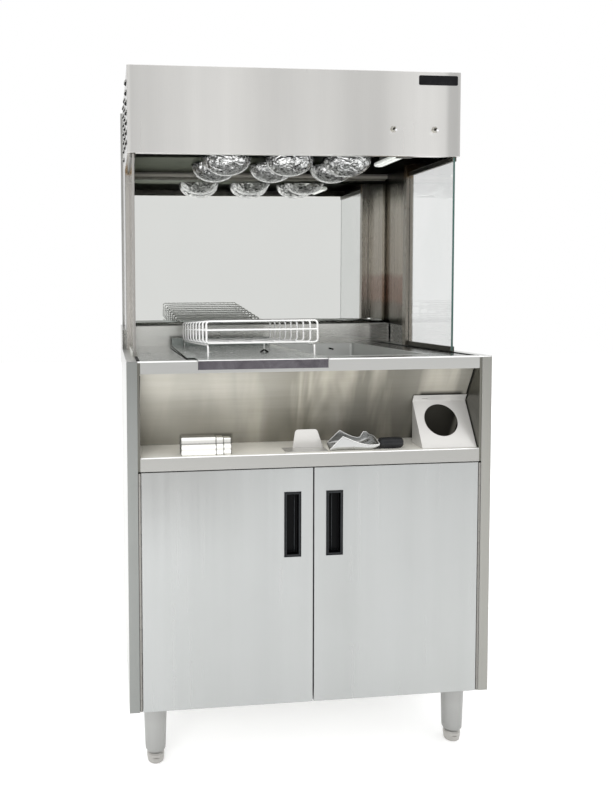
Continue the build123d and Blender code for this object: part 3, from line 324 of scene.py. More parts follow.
def inner_tone(m, col):
    """The faces under the hood carry painted reflections and painted shade in brown tones, with some heat tint: dark
    near the lamps and low down; outside they are plain, except that the outside of the left skin is darker.
    """
    x = m.axis("X")
    g = m.node("NewGeometry")
    sep = m.node("SeparateXYZ")
    m.link(g.outputs["True Normal"], sep.inputs[0])
    inside = m.remap(m.math("MULTIPLY", m.math("MULTIPLY", x, sep.outputs[0]), -1.0), 0.1, 0.3, 0.0, 1.0)
    z = m.axis("Z")
    wob = m.noise(m.mapped((12, 12, 3)), 1.0, 3.0, 0.6)
    z = m.math("ADD", z, m.remap(wob, 0.3, 0.7, -0.006, 0.006))
    v = m.remap(z, 1.045, 1.535, 0.0, 1.0)
    # painted reflections and shade: brown bands by height, with some heat tint
    r = m.ramp(v, [(0.0, (0.12, 0.115, 0.09)), (0.030, (0.125, 0.12, 0.095)), (0.135, (0.15, 0.12, 0.095)),
                   (0.165, (0.21, 0.135, 0.10)), (0.31, (0.25, 0.175, 0.14)), (0.345, (0.34, 0.30, 0.25)),
                   (0.56, (0.36, 0.32, 0.27)), (0.76, (0.37, 0.34, 0.29)), (0.86, (0.22, 0.20, 0.16)),
                   (0.94, (0.07, 0.066, 0.055)), (1.0, (0.05, 0.047, 0.04))])
    streak = m.noise(m.mapped((60, 60, 1.2)), 1.0, 3.0, 0.6)
    r = m.mix(m.remap(streak, 0.45, 0.75, 0.0, 0.45), r, (0.10, 0.085, 0.065))
    left = m.remap(x, -0.435, -0.4375, 0.0, 1.0)
    col = m.mix(left, col, m.mix(1.0, col, (0.76, 0.755, 0.75), "MULTIPLY"))
    return m.mix(inside, col, r)


def glass_ends(m, col):
    """The left channel stands in the light, the right one in shade."""
    left = m.remap(m.axis("X"), 0.1, -0.1, 0.0, 1.0)
    low = m.remap(m.axis("Z"), 1.2, 1.0, 0.0, 1.0)
    return m.mix(m.math("MULTIPLY", left, low), col, (0.55, 0.55, 0.50))


def leaning(m, col):
    """Sheet behind the open shelf: soft leaning streaks of painted reflection towards the middle, painted shade behind
    the tools and the holder.
    """
    # painted reflection: light and dark leaning streaks
    s = m.noise(m.mapped((13, 2, 2.2), rot=(0, 0.16, 0), loc=(3.3, 0, 0)), 1.0, 3.0, 0.5, 0.5)
    amount = m.ramp(m.remap(m.axis("X"), -0.42, 0.42, 0.0, 1.0),
                    [(0.0, (0.10,) * 3), (0.30, (0.18,) * 3), (0.48, (0.85,) * 3), (0.75, (0.9,) * 3), (1.0, (0.4,) * 3)])
    bright = m.mix(1.0, col, (1.42, 1.38, 1.30), "MULTIPLY")
    dark = m.mix(1.0, col, (0.62, 0.61, 0.56), "MULTIPLY")
    streak = m.mix(m.remap(s, 0.42, 0.60, 0.0, 1.0), dark, bright)
    a = m.node("RGBToBW")
    m.link(amount, a.inputs[0])
    col = m.mix(a.outputs[0], col, streak)
    fine = m.noise(m.mapped((5, 5, 160), loc=(1.1, 0, 0)), 1.0, 3.0, 0.6, 0.3)
    col = m.mix(m.remap(fine, 0.45, 0.75, 0.0, 0.22), col, m.mix(1.0, col, (0.72, 0.70, 0.62), "MULTIPLY"))

    def shade(x0, x1, z0, z1, soft, depth):
        """Darker patch with soft borders, between two widths and two heights."""
        x, z = m.axis("X"), m.axis("Z")
        w = m.math("MULTIPLY", m.smooth(x, x0 - soft, x0, 0.0, 1.0), m.smooth(x, x1, x1 + soft, 1.0, 0.0))
        h = m.math("MULTIPLY", m.smooth(z, z0 - soft, z0, 0.0, 1.0), m.smooth(z, z1, z1 + soft, 1.0, 0.0))
        return m.math("MULTIPLY", m.math("MULTIPLY", w, h), depth)

    col = m.mix(shade(-0.308, -0.184, 0.76, 0.798, 0.010, 0.70), col, (0.045, 0.043, 0.032))
    col = m.mix(shade(-0.08, 0.0, 0.77, 0.84, 0.035, 0.35), col, (0.16, 0.15, 0.12))
    col = m.mix(shade(0.30, 0.40, 0.77, 0.90, 0.012, 0.93), col, (0.020, 0.019, 0.015))
    return m.mix(shade(0.06, 0.25, 0.77, 0.86, 0.05, 0.25), col, (0.14, 0.135, 0.12))


def door_tone(m, col):
    """Painted shade: the left door is painted darker towards its upper outer corner."""
    x = m.axis("X")
    high = m.smooth(m.axis("Z"), 0.50, 0.74, 0.0, 1.0)
    left = m.math("MULTIPLY", m.smooth(x, -0.02, -0.36, 0.0, 1.0), high)
    col = m.mix(left, col, m.mix(1.0, col, (0.80, 0.79, 0.785), "MULTIPLY"))
    soft = m.noise(m.mapped((2.2, 2.2, 1.2), loc=(0.7, 0, 0.4)), 1.0, 3.0, 0.55, 0.4)
    return m.mix(m.remap(soft, 0.45, 0.75, 0.0, 0.5), col, m.mix(1.0, col, (0.93, 0.935, 0.92), "MULTIPLY"))


def hood_inside(m, col):
    """Painted shade: behind the hood's front, the back-facing sheet is painted much darker."""
    return m.mix(facing(m, "Y", 1), col, m.mix(1.0, col, (0.26, 0.255, 0.24), "MULTIPLY"))


def recess_tone(m, col):
    """The finger recess is in deep shade and gathers no scuffs."""
    deep = m.remap(m.axis("Y"), F - 0.0004, F + 0.0015, 0.0, 1.0)
    return m.mix(deep, col, (0.0016, 0.0018, 0.0021))


def divider_tone(m, col):
    """Painted shade: dark lines where the channels end one inside the other, and a painted shadow along the left end.
    """
    x = m.axis("X")
    for end in (-0.236, -0.2175, -0.199):
        d = m.math("ABSOLUTE", m.math("SUBTRACT", x, end - 0.0006))
        col = m.mix(m.remap(d, 0.0006, 0.0022, 0.85, 0.0), col, (0.05, 0.05, 0.04))
    d = m.math("ABSOLUTE", m.math("SUBTRACT", x, -0.3215))
    return m.mix(m.remap(d, 0.001, 0.003, 0.8, 0.0), col, (0.06, 0.06, 0.05))


def gasket_tone(m, col):
    """Only the top of the strip is dark; below it the strip is grey like the sheet under it, and it turns lighter grey
    towards the left.
    """
    z = m.axis("Z")
    low = m.remap(z, 1.0458, 1.0450, 0.0, 1.0)
    left = m.remap(m.axis("X"), 0.05, -0.25, 0.0, 0.75)
    col = m.mix(left, col, (0.26, 0.26, 0.25))
    return m.mix(low, col, (0.42, 0.42, 0.40))


M = {}
# painted reflections: the X stops lay soft light and dark vertical bands across the hood, with darker strips near both
# ends
M["hood"] = steel("hood_steel", (0.742, 0.734, 0.712), "z", rough=0.30, vary=0.06, marks=0.3, waves=0.5, fine=0.2, extra=hood_inside,
                  grads=[("X", [(-0.438, 0.92), (-0.434, 1.06), (-0.428, 0.86), (-0.40, 0.93), (-0.34, 1.05), (-0.24, 1.09),
                                (-0.10, 1.0), (0.05, 0.97), (0.16, 0.87), (0.22, 0.89), (0.29, 1.05), (0.36, 1.12),
                                (0.396, 1.08), (0.408, 0.80), (0.430, 0.78), (0.438, 0.90)])])
M["door"] = steel("door_steel", (0.412, 0.422, 0.418), "z", rough=0.30, vary=0.04, marks=0.25, waves=0.8, seed=2, fine=0.16,
                  extra=door_tone,
                  grads=[("Z", [(0.157, 1.05), (0.30, 1.04), (0.50, 1.0), (0.64, 0.98), (0.7385, 0.95)])])
M["side"] = steel("side_steel", (0.57, 0.575, 0.56), "z", rough=0.32, vary=0.05, seed=3, extra=stile_tone)
M["fascia"] = steel("fascia_steel", (0.460, 0.460, 0.447), "x", rough=0.30, vary=0.04, seed=4, marks=0.4,
                    grads=[("X", [(-0.45, 0.88), (-0.2, 0.90), (0.1, 0.98), (0.45, 1.0)])])
# painted shade: the worktop is painted darker at its left end and much darker towards the right
M["deck"] = steel("deck_steel", (0.44, 0.45, 0.43), "x", rough=0.22, vary=0.07, marks=0.6, seed=5,
                  grads=[("X", [(-0.45, 0.74), (-0.31, 0.80), (-0.28, 1.0), (0.28, 1.0), (0.325, 0.62), (0.36, 0.48), (0.42, 0.40)])])
# painted shade: the leaning sheet is painted darker towards its right half and towards the shelf
M["niche"] = steel("niche_steel", (0.475, 0.462, 0.415), "x", rough=0.42, vary=0.06, marks=0.6, seed=6, metal=0.45, extra=leaning,
                   grads=[("X", [(-0.42, 1.0), (-0.25, 0.97), (-0.08, 0.82), (0.04, 0.75), (0.14, 0.60), (0.24, 0.48),
                                 (0.33, 0.66), (0.42, 0.76)]),
                          ("Z", [(0.774, 0.80), (0.83, 0.90), (0.93, 1.0), (1.0, 1.0)])])
# painted shade: the open shelf's cheeks are a dark copy of the steel
M["cheek"] = steel("cheek_steel", (0.15, 0.148, 0.13), "z", rough=0.35, vary=0.1, marks=0.8, seed=26)
# painted light: near-white and barely metallic, standing in for the light the shelf's upper face catches
M["shelf"] = steel("shelf_steel", (0.95, 0.93, 0.86), "x", rough=0.34, vary=0.05, marks=0.4, seed=7, metal=0.1,
                   extra=shelf_tone)
M["inner"] = steel("inner_steel", (0.56, 0.56, 0.545), "z", rough=0.22, vary=0.06, marks=0.4, seed=8, extra=inner_tone)
# painted light: the left post is painted lighter on its outer part
M["post"] = steel("post_steel", (0.46, 0.44, 0.41), "z", rough=0.26, vary=0.07, seed=9, extra=post_tone,
                  grads=[("X", [(-0.44, 1.28), (-0.41, 1.28), (-0.40, 1.0), (0.44, 1.0)])])
M["top"] = steel("top_steel", (0.40, 0.40, 0.385), "x", rough=0.34, vary=0.07, marks=0.12, seed=32, fine=0.4)
M["back"] = steel("back_steel", (0.47, 0.47, 0.455), "x", rough=0.36, vary=0.05, marks=0.5, seed=10)
# painted shade: the backsplash is painted darker at both ends and over its right part
M["splash"] = steel("splash_steel", (0.97, 0.96, 0.92), "x", rough=0.24, vary=0.04, marks=0.3, seed=25,
                    grads=[("X", [(-0.449, 0.58), (-0.442, 0.58), (-0.436, 0.97), (0.30, 1.0), (0.375, 0.98), (0.385, 0.45),
                                  (0.436, 0.40), (0.442, 0.58), (0.449, 0.58)])])
M["dull"] = steel("dull_steel", (0.60, 0.60, 0.585), "x", rough=0.42, vary=0.07, marks=0.6, seed=11, metal=0.55)
# painted light and shade: the rail is lighter across its lower half and darkens towards its top
M["rail"] = steel("rail_steel", (0.44, 0.42, 0.375), "x", rough=0.5, vary=0.06, marks=0.5, seed=12, metal=0.35,
                  grads=[("Z", [(1.5246, 0.75), (1.5262, 1.0), (1.5315, 1.0), (1.5335, 0.5), (1.537, 0.4), (1.5388, 0.16)])])
# painted shade: the plate under the hood is a near-black copy of the steel, lighter towards the left, darker towards
# the right and near the front
M["lampplate"] = steel("lamp_plate_steel", (0.075, 0.078, 0.070), "x", rough=0.34, vary=0.12, marks=0.6, seed=13,
                       graze=(0.36, 0.37, 0.34),
                       grads=[("X", [(-0.43, 1.4), (-0.36, 2.6), (-0.22, 2.8), (-0.05, 1.5), (0.15, 0.8), (0.28, 0.55), (0.43, 0.5)]),
                              ("Y", [(FRONT + 0.16, 0.30), (FRONT + 0.370, 0.30), (FRONT + 0.405, 1.0), (FRONT + 0.75, 1.0)])])
M["pan"] = steel("pan_steel", (0.62, 0.63, 0.61), "y", rough=0.42, vary=0.05, marks=0.5, seed=14, metal=0.7)
M["tray"] = steel("tray_steel", (0.42, 0.45, 0.43), "y", rough=0.2, vary=0.06, marks=0.6, seed=15, extra=tray_tone)
M["tools"] = steel("tool_steel", (0.62, 0.61, 0.59), "x", rough=0.3, vary=0.07, marks=0.5, seed=16, metal=0.5)
# painted reflections: light and dark bands by height along the rounded channels
M["divider"] = steel("divider_steel", (0.86, 0.85, 0.81), "x", rough=0.2, vary=0.05, marks=0.4, seed=28, extra=divider_tone,
                     grads=[("Z", [(0.774, 1.2), (0.784, 1.2), (0.7855, 0.72), (0.790, 0.74), (0.792, 1.22), (0.7985, 1.15),
                                   (0.8005, 0.34), (0.803, 0.50), (0.809, 0.62), (0.812, 1.02), (0.815, 0.95), (0.817, 0.6)])])
M["scoop"] = steel("scoop_steel", (0.50, 0.505, 0.50), "x", rough=0.27, vary=0.09, marks=0.7, seed=29, fine=0.25)
# painted shade: a darker copy of the scoop steel, meant for the shaded inside of the scoop
M["scoopdark"] = steel("scoop_inner_steel", (0.34, 0.345, 0.325), "x", rough=0.3, vary=0.2, marks=0.9, seed=30, fine=0.3)
# painted shade: the legs are painted darker at their tops, under the cabinet, and a little at the floor
M["leg"] = steel("leg_steel", (0.350, 0.352, 0.342), "z", rough=0.33, vary=0.08, marks=0.5, seed=17,
                 grads=[("Z", [(0.0, 0.9), (0.05, 0.95), (0.10, 1.0), (0.135, 0.92), (0.157, 0.62)])])
M["foot"] = steel("foot_steel", (0.42, 0.41, 0.39), "x", rough=0.3, vary=0.1, marks=0.6, seed=18)
M["hinge"] = steel("hinge_steel", (0.27, 0.262, 0.245), "z", rough=0.38, vary=0.12, marks=0.8, seed=19, edge=0.0006)
M["wire"] = steel("wire_steel", (0.97, 0.965, 0.95), "z", rough=0.16, vary=0.05, marks=0.3, seed=20, edge=0.0008, metal=0.6)
M["channel"] = steel("channel_steel", (0.10, 0.095, 0.08), "y", rough=0.35, vary=0.1, marks=0.5, seed=21, extra=glass_ends)
M["chrome"] = steel("chrome", (0.80, 0.80, 0.82), "z", rough=0.1, vary=0.04, marks=0.2, seed=22, edge=0.0005, fine=0.1)
M["screw"] = steel("screw_steel", (0.62, 0.62, 0.62), "x", rough=0.25, vary=0.08, marks=0.4, seed=23, edge=0.0005)
M["brass"] = steel("cap_brass", (0.72, 0.58, 0.34), "x", rough=0.25, vary=0.1, marks=0.5, seed=24, edge=0.0005)
# painted highlight: near-white and half metallic, so the rounded bends and rims read as bright lines
M["bead"] = steel("bend_steel", (0.96, 0.96, 0.95), "x", rough=0.32, vary=0.02, marks=0.15, seed=27, edge=0.0006, metal=0.6)
M["black"] = plastic("black_plastic", (0.012, 0.013, 0.014), rough=0.34, spec=0.07, extra=recess_tone)
M["trim"] = plastic("black_trim", (0.024, 0.027, 0.029), rough=0.28, spec=0.25, edge=0.0006)
M["nut"] = steel("nut_steel", (0.50, 0.49, 0.45), "x", rough=0.16, vary=0.2, marks=0.8, seed=31, edge=0.0008, edge_light=0.6)
M["grip"] = plastic("grip_plastic", (0.008, 0.0085, 0.010), rough=0.32, bump=0.35, spec=0.35)
M["badge"] = plastic("badge_plate", (0.006, 0.006, 0.007), rough=0.26, bump=0.05, grain=500, spec=0.12)
# black rubber; the same material fills the dark strips in the gaps along the worktop, the tray and the open shelf, as
# painted shade
M["rubber"] = plastic("black_rubber", (0.012, 0.012, 0.011), rough=0.62, grain=900, bump=0.4, spec=0.12)
M["gasket"] = plastic("gasket_strip", (0.02, 0.02, 0.019), rough=0.62, grain=900, bump=0.4, spec=0.15, extra=gasket_tone)
M["vent"] = plastic("vent_shadow", (0.006, 0.006, 0.006), rough=0.7, spec=0.05)
M["catch"] = plastic("catch_plastic", (0.62, 0.61, 0.57), rough=0.42)
M["ceramic"] = plastic("socket_ceramic", (0.78, 0.76, 0.70), rough=0.18, bump=0.08, grain=300)
M["holder"] = plastic("holder_plastic", (0.10, 0.10, 0.095), rough=0.35, dust=0.1)
M["gland"] = plastic("gland_plastic", (0.05, 0.05, 0.052), rough=0.42)


def mirror_material():
    m = Mat("mirror_silver")
    m.set(Metallic=1.0)
    c = m.noise(m.mapped((2.3, 2.3, 2.3)), 1.0, 3.0, 0.55, 0.5)
    col = m.mix(m.remap(c, 0.3, 0.7, 0, 1), (0.850, 0.860, 0.835), (0.870, 0.880, 0.855))
    bev = m.rounded(0.002)
    e = m.edge(bev)
    col = m.mix(m.math("MULTIPLY", e, 0.5), col, (0.55, 0.62, 0.58))
    m.link(col, m.bsdf.inputs["Base Color"])
    s = m.noise(m.mapped((60, 60, 14)), 1.0, 4.0, 0.6)
    m.link(m.remap(s, 0.5, 0.85, 0.012, 0.04), m.bsdf.inputs["Roughness"])
    return m.m


def glass_material():
    """Clear toughened glass, faintly clouded by handling, with ground edges: green in shade, grey in the light."""
    m = Mat("side_glass")
    m.set(Metallic=0.0, IOR=1.45)
    c = m.noise(m.mapped((5, 5, 2)), 1.0, 4.0, 0.6, 0.8)
    g = m.node("NewGeometry")
    sep = m.node("SeparateXYZ")
    m.link(g.outputs["Normal"], sep.inputs[0])
    face = m.math("ABSOLUTE", sep.outputs[0])
    side = m.remap(face, 0.5, 0.9, 0.0, 1.0)
    flat = m.mix(m.remap(c, 0.35, 0.7, 0, 1), (0.82, 0.835, 0.83), (0.86, 0.865, 0.865))
    left = m.remap(m.axis("X"), 0.1, -0.1, 0.0, 1.0)
    edge = m.mix(left, (0.035, 0.085, 0.075), (0.24, 0.23, 0.215))
    m.link(side, m.bsdf.inputs["Transmission Weight"])
    col = m.mix(side, edge, flat)
    m.link(col, m.bsdf.inputs["Base Color"])
    m.link(m.remap(c, 0.45, 0.8, 0.0, 0.05), m.bsdf.inputs["Roughness"])
    m.link(m.bump(c, 0.02, 0.0002), m.bsdf.inputs["Normal"])
    return m.m


def bulb_silver_material():
    """Inner coating of a reflector bulb, crumpled, its colour carrying painted highlights and painted shade: bright
    facets next to dark ones.
    """
    m = Mat("bulb_silver")
    m.set(Metallic=0.72)
    w = m.noise(m.mapped((30, 30, 46)), 1.0, 1.0, 0.45, 2.0)
    v = m.noise(m.mapped((75, 75, 100)), 1.0, 1.0, 0.5, 1.4)
    # painted highlights and shade: the ramp runs from grey to white across the crumples
    col = m.ramp(w, [(0.30, (0.45, 0.45, 0.44)), (0.38, (0.95, 0.95, 0.94)), (0.50, (1.0, 1.0, 1.0)),
                     (0.545, (0.30, 0.31, 0.30)), (0.59, (1.0, 1.0, 1.0)), (0.74, (0.60, 0.61, 0.60))])
    # painted shade lines, then painted highlight patches
    col = m.mix(m.remap(v, 0.60, 0.63, 0.0, 0.85), col, (0.07, 0.07, 0.065))
    col = m.mix(m.remap(v, 0.46, 0.40, 0.0, 1.0), col, (1.0, 1.0, 1.0))
    m.link(col, m.bsdf.inputs["Base Color"])
    m.link(m.remap(v, 0.3, 0.7, 0.06, 0.20), m.bsdf.inputs["Roughness"])
    n = m.bump(w, 0.8, 0.006)
    n = m.bump(v, 0.6, 0.0014, n)
    m.link(n, m.bsdf.inputs["Normal"])
    return m.m


def bulb_glass_material():
    """Thin clear bulb glass with a slight ripple."""
    m = Mat("bulb_glass")
    m.set(Metallic=0.0, IOR=1.36, Transmission_Weight=1.0)
    c = m.noise(m.mapped((40, 40, 30)), 1.0, 3.0, 0.6, 1.0)
    m.link(m.mix(m.remap(c, 0.35, 0.7, 0, 1), (0.97, 0.97, 0.965), (1.0, 1.0, 1.0)), m.bsdf.inputs["Base Color"])
    m.link(m.remap(c, 0.4, 0.8, 0.0, 0.02), m.bsdf.inputs["Roughness"])
    m.link(m.bump(c, 0.15, 0.0005), m.bsdf.inputs["Normal"])
    return m.m


def tube_material():
    m = Mat("tube_white")
    m.set(Metallic=0.0, IOR=1.5, Coat_Weight=0.6, Coat_Roughness=0.05)
    c = m.noise(m.mapped((30, 12, 30)), 1.0, 3.0, 0.5)
    y = m.axis("Y")
    ends = m.smooth(y, F + 0.205, F + 0.235, 1.0, 0.0)
    col = m.mix(m.remap(c, 0.3, 0.7, 0, 1), (0.86, 0.89, 0.84), (0.95, 0.97, 0.92))
    col = m.mix(m.math("MULTIPLY", ends, 0.75), col, (0.20, 0.19, 0.17))
    m.link(col, m.bsdf.inputs["Base Color"])
    m.link(m.remap(c, 0.3, 0.7, 0.25, 0.4), m.bsdf.inputs["Roughness"])
    m.link(m.bump(c, 0.05, 0.0003), m.bsdf.inputs["Normal"])
    # phosphor coating passes light through the tube, so it never goes dark
    m.link(col, m.bsdf.inputs["Emission Color"])
    m.set(Emission_Strength=0.35)
    return m.m


M["mirror"] = mirror_material()
M["glass"] = glass_material()
M["bulb"] = bulb_silver_material()
M["bulbglass"] = bulb_glass_material()
M["tube"] = tube_material()

WEAR = {
    "hood": ["hood_front"],
    "top": ["hood_top"],
    "door": ["door_left_skin", "door_right_skin"],
    "side": ["side_panels"],
    "cheek": ["niche_sides"],
    "fascia": ["worktop_front"],
    "deck": ["worktop_deck"],
    "niche": ["niche_back"],
    "shelf": ["niche_shelf"],
    "inner": ["upper_side_skins"],
    "post": ["posts"],
    "back": ["upper_back", "cabinet_back"],
    "splash": ["backsplash"],
    "dull": ["cabinet_floor", "interior_shelf", "door_left_liner", "door_right_liner", "lamp_rails", "junction_box"],
    "rail": ["mirror_head_rail"],
    "lampplate": ["lamp_plate"],
    "pan": ["dump_pan", "pan_grid"],
    "tray": ["tray"],
    "tools": ["scraper_plate", "cup_holder"],
    "divider": ["bag_dividers"],
    "scoop": ["scoop_body"],
    "leg": ["leg_tubes"],
    "foot": ["foot_front_left", "foot_front_right", "foot_rear_left", "foot_rear_right"],
    "hinge": ["hinge_leaves_fixed", "hinge_left_door", "hinge_right_door", "hinge_pins"],
    "wire": ["rack_dividers", "rack_frame"],
    "channel": ["glass_channels"],
    "chrome": ["toggle_heat", "toggle_light"],
    "nut": ["switch_bodies"],
    "screw": ["panel_screws"],
    "brass": ["lamp_caps"],
    "black": ["handle_left", "handle_right"],
    "grip": ["scoop_handle"],
    "badge": ["badge_plate"],
    "gasket": ["mirror_gasket"],
    "catch": ["door_catches"],
    "ceramic": ["lamp_sockets"],
    "holder": ["light_holder"],
    "gland": ["cable_gland"],
    "mirror": ["mirror_pane"],
    "glass": ["side_glasses"],
    "bulb": ["heat_lamps"],
    "tube": ["light_tube"],
}
for key, names in WEAR.items():
    for n in names:
        paint(NODES[n], M[key])

# ---------------------------------------------------------------------------
# Detail pieces, built as meshes, each riding on its body
# ---------------------------------------------------------------------------
MM = 0.001


def P(x, d, z):
    """Point from x, depth behind the cabinet's front face and height, all in millimetres."""
    return Vector((x * MM, FRONT + d * MM, z * MM))


def new_object(name, bm, body, material, smooth=True):
    me = bpy.data.meshes.new(name)
    bm.normal_update()
    bm.to_mesh(me)
    bm.free()
    for poly in me.polygons:
        poly.use_smooth = smooth
    o = bpy.data.objects.new(name, me)
    bpy.context.scene.collection.objects.link(o)
    o.data.materials.append(material)
    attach(o, body)
    return o


def lathe(bm, profile, centre, steps=96, jitter=None, closed=False):
    """Turns (radius, height) millimetre points round a vertical axis."""
    rings = []
    for r, up in profile:
        if r < 1e-6:
            rings.append([bm.verts.new(P(centre[0], centre[1], centre[2] + up))])
            continue
        ring = []
        for k in range(steps):
            a = 2 * math.pi * k / steps
            rr, uu = r, up
            if jitter:
                dr, du = jitter(r, up, a)
                rr, uu = r + dr, up + du
            ring.append(bm.verts.new(P(centre[0] + rr * math.cos(a), centre[1] + rr * math.sin(a), centre[2] + uu)))
        rings.append(ring)
    pairs = list(zip(rings, rings[1:]))
    if closed:
        pairs.append((rings[-1], rings[0]))
    for ra, rb in pairs:
        n = max(len(ra), len(rb))
        for k in range(n):
            a0, a1 = ra[k % len(ra)], ra[(k + 1) % len(ra)]
            b0, b1 = rb[k % len(rb)], rb[(k + 1) % len(rb)]
            if len(ra) == 1:
                bm.faces.new((a0, b0, b1))
            elif len(rb) == 1:
                bm.faces.new((a0, b0, a1))
            else:
                bm.faces.new((a0, b0, b1, a1))


def tube_along(bm, points, radius, sides=12, closed=False):
    """Round rod through points, with mitred rings and flat ends."""
    n = len(points)
    rings = []
    up = None
    for i, p in enumerate(points):
        if closed:
            t = (points[(i + 1) % n] - points[i - 1]).normalized()
        else:
            t = (points[min(i + 1, n - 1)] - points[max(i - 1, 0)]).normalized()
        if up is None:
            up = Vector((0, 0, 1)) if abs(t.z) < 0.9 else Vector((1, 0, 0))
        side = t.cross(up).normalized()
        up = side.cross(t).normalized()
        r = radius(i) if callable(radius) else radius
        rings.append([bm.verts.new(p + side * (r * math.cos(2 * math.pi * k / sides)) +
                                   up * (r * math.sin(2 * math.pi * k / sides))) for k in range(sides)])
    pairs = list(zip(rings, rings[1:]))
    if closed:
        pairs.append((rings[-1], rings[0]))
    for ra, rb in pairs:
        for k in range(sides):
            bm.faces.new((ra[k], ra[(k + 1) % sides], rb[(k + 1) % sides], rb[k]))
    if not closed:
        bm.faces.new(list(reversed(rings[0])))
        bm.faces.new(rings[-1])
    bmesh.ops.recalc_face_normals(bm, faces=bm.faces)


def prism(bm, outline, axis_pts):
    """Closed strip of one cross-section through two or more stations; each station is a list of points."""
    rings = [[bm.verts.new(v) for v in st] for st in axis_pts]
    n = len(outline) if outline else len(axis_pts[0])
    for ra, rb in zip(rings, rings[1:]):
        for k in range(n):
            bm.faces.new((ra[k], ra[(k + 1) % n], rb[(k + 1) % n], rb[k]))
    bm.faces.new(list(reversed(rings[0])))
    bm.faces.new(rings[-1])
    bmesh.ops.recalc_face_normals(bm, faces=bm.faces)


# --- reflector lamps: clear outer bulb with a crumpled silver bowl inside ---
LAMPS = [(-151.0, 382.0, 1487.0), (29.0, 382.0, 1487.0), (199.0, 382.0, 1487.0),
         (-167.0, 528.0, 1487.0), (9.0, 528.0, 1487.0), (197.0, 528.0, 1487.0)]


def bulb_profile(radius, depth, top, n=26):
    """Lower half of an oblate bulb, then the shoulder up to the neck."""
    pts = []
    for i in range(n + 1):
        t = math.pi / 2 * i / n
        pts.append((radius * math.sin(t), depth * (1 - math.cos(t))))
    neck = 16.0
    for i in range(1, 15):
        t = i / 14
        e = 0.5 - 0.5 * math.cos(math.pi * t)
        pts.append((radius + (neck - radius) * e ** 1.15, depth + (top - depth) * t))
    return pts


def build_lamps():
    rng = random.Random(11)
    glass = bmesh.new()
    silver = bmesh.new()
    for c in LAMPS:
        outer = bulb_profile(67.6, 46.0, 140.0)
        outer[0] = (0.0, 0.3)
        lathe(glass, outer, c, 80)
        ph = [rng.uniform(0, 6.28) for _ in range(6)]

        def crumple(r, up, a, ph=ph):
            k = min(1.0, r / 40.0) * (1.0 if up < 60 else 0.3)
            w = (1.1 * math.sin(7 * a + ph[0] + up * 0.11) + 0.8 * math.sin(13 * a + ph[1] - up * 0.17) +
                 0.6 * math.sin(23 * a + ph[2] + up * 0.29))
            v = 0.9 * math.sin(5 * a + ph[3] + r * 0.21) + 0.6 * math.sin(11 * a + ph[4] - r * 0.33)
            return -abs(w) * 0.7 * k, v * 0.7 * k

        inner = bulb_profile(63.2, 41.0, 130.0, 30)
        inner = [(r, u + 5.5) for r, u in inner if r > 0.5]
        inner.insert(0, (0.0, 5.5))
        lathe(silver, inner, c, 110, crumple)
    for bm in (glass, silver):
        bmesh.ops.recalc_face_normals(bm, faces=bm.faces)
    g = new_object("lamp_bulbs", glass, "cabinet", M["bulbglass"])
    s = new_object("lamp_reflectors", silver, "cabinet", M["bulb"])
    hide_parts("heat_lamps")
    return g, s


# --- mirror sheet: thin polished steel, held at its edges and very slightly bowed ---
def build_mirror():
    bm = bmesh.new()
    nx, nz = 56, 28
    x0, x1, z0, z1 = -436.4, 436.4, 1045.2, 1524.5

    def back(x, z):
        bow = 6.0 * (1 - (x / 436.4) ** 2) * 0.95 - 3.6 * (x / 436.4) * 0.4
        lean = 3.0 * (z - z0) / (z1 - z0)
        return 701.6 + max(0.0, bow) + (1.0 - lean / 3.0) * 2.6

    front = [[bm.verts.new(P(x0 + (x1 - x0) * i / nx, back(x0 + (x1 - x0) * i / nx, z0 + (z1 - z0) * j / nz),
                             z0 + (z1 - z0) * j / nz)) for i in range(nx + 1)] for j in range(nz + 1)]
    rear = [[bm.verts.new(v.co + Vector((0, 0.0012, 0))) for v in row] for row in front]
    for j in range(nz):
        for i in range(nx):
            bm.faces.new((front[j][i], front[j][i + 1], front[j + 1][i + 1], front[j + 1][i]))
            bm.faces.new((rear[j][i], rear[j + 1][i], rear[j + 1][i + 1], rear[j][i + 1]))
    for i in range(nx):
        bm.faces.new((front[0][i], rear[0][i], rear[0][i + 1], front[0][i + 1]))
        bm.faces.new((front[nz][i], front[nz][i + 1], rear[nz][i + 1], rear[nz][i]))
    for j in range(nz):
        bm.faces.new((front[j][0], front[j + 1][0], rear[j + 1][0], rear[j][0]))
        bm.faces.new((front[j][nx], rear[j][nx], rear[j + 1][nx], front[j + 1][nx]))
    bmesh.ops.recalc_face_normals(bm, faces=bm.faces)
    o = new_object("mirror_sheet", bm, "cabinet", M["mirror"])
    for poly in o.data.polygons:
        poly.use_smooth = abs(poly.normal.y) > 0.9
    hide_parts("mirror_pane")
    return o


# --- rounded bends painted near-white, a painted highlight where they catch the light ---
def bead(name, body, a, b, radius, squash=1.0, steps=24):
    bm = bmesh.new()
    pts = [a.lerp(b, i / steps) for i in range(steps + 1)]
    tube_along(bm, pts, radius * MM, 14)
    return new_object(name, bm, body, M["bead"])


def build_beads():
    bead("worktop_bend_left", "cabinet", P(-424, 1.7, 1001.6), P(-282, 1.7, 1001.6), 1.95)
    bead("worktop_bend_right", "cabinet", P(36, 1.7, 1001.6), P(449, 1.7, 1001.6), 1.95)
    bead("worktop_bead_left", "cabinet", P(-417.5, 20.0, 1000.5), P(-303.5, 20.0, 1000.5), 1.3)
    bead("worktop_bead_right", "cabinet", P(42.0, 20.0, 1000.5), P(417.5, 20.0, 1000.5), 1.3)
    bead("tray_lip_bend", "tray", P(-280.6, 0.0, 1003.1), P(34.6, 0.0, 1003.1), 2.0)
    bead("shelf_lip_bend", "cabinet", P(-417, 1.4, 772.9), P(417, 1.4, 772.9), 1.7)


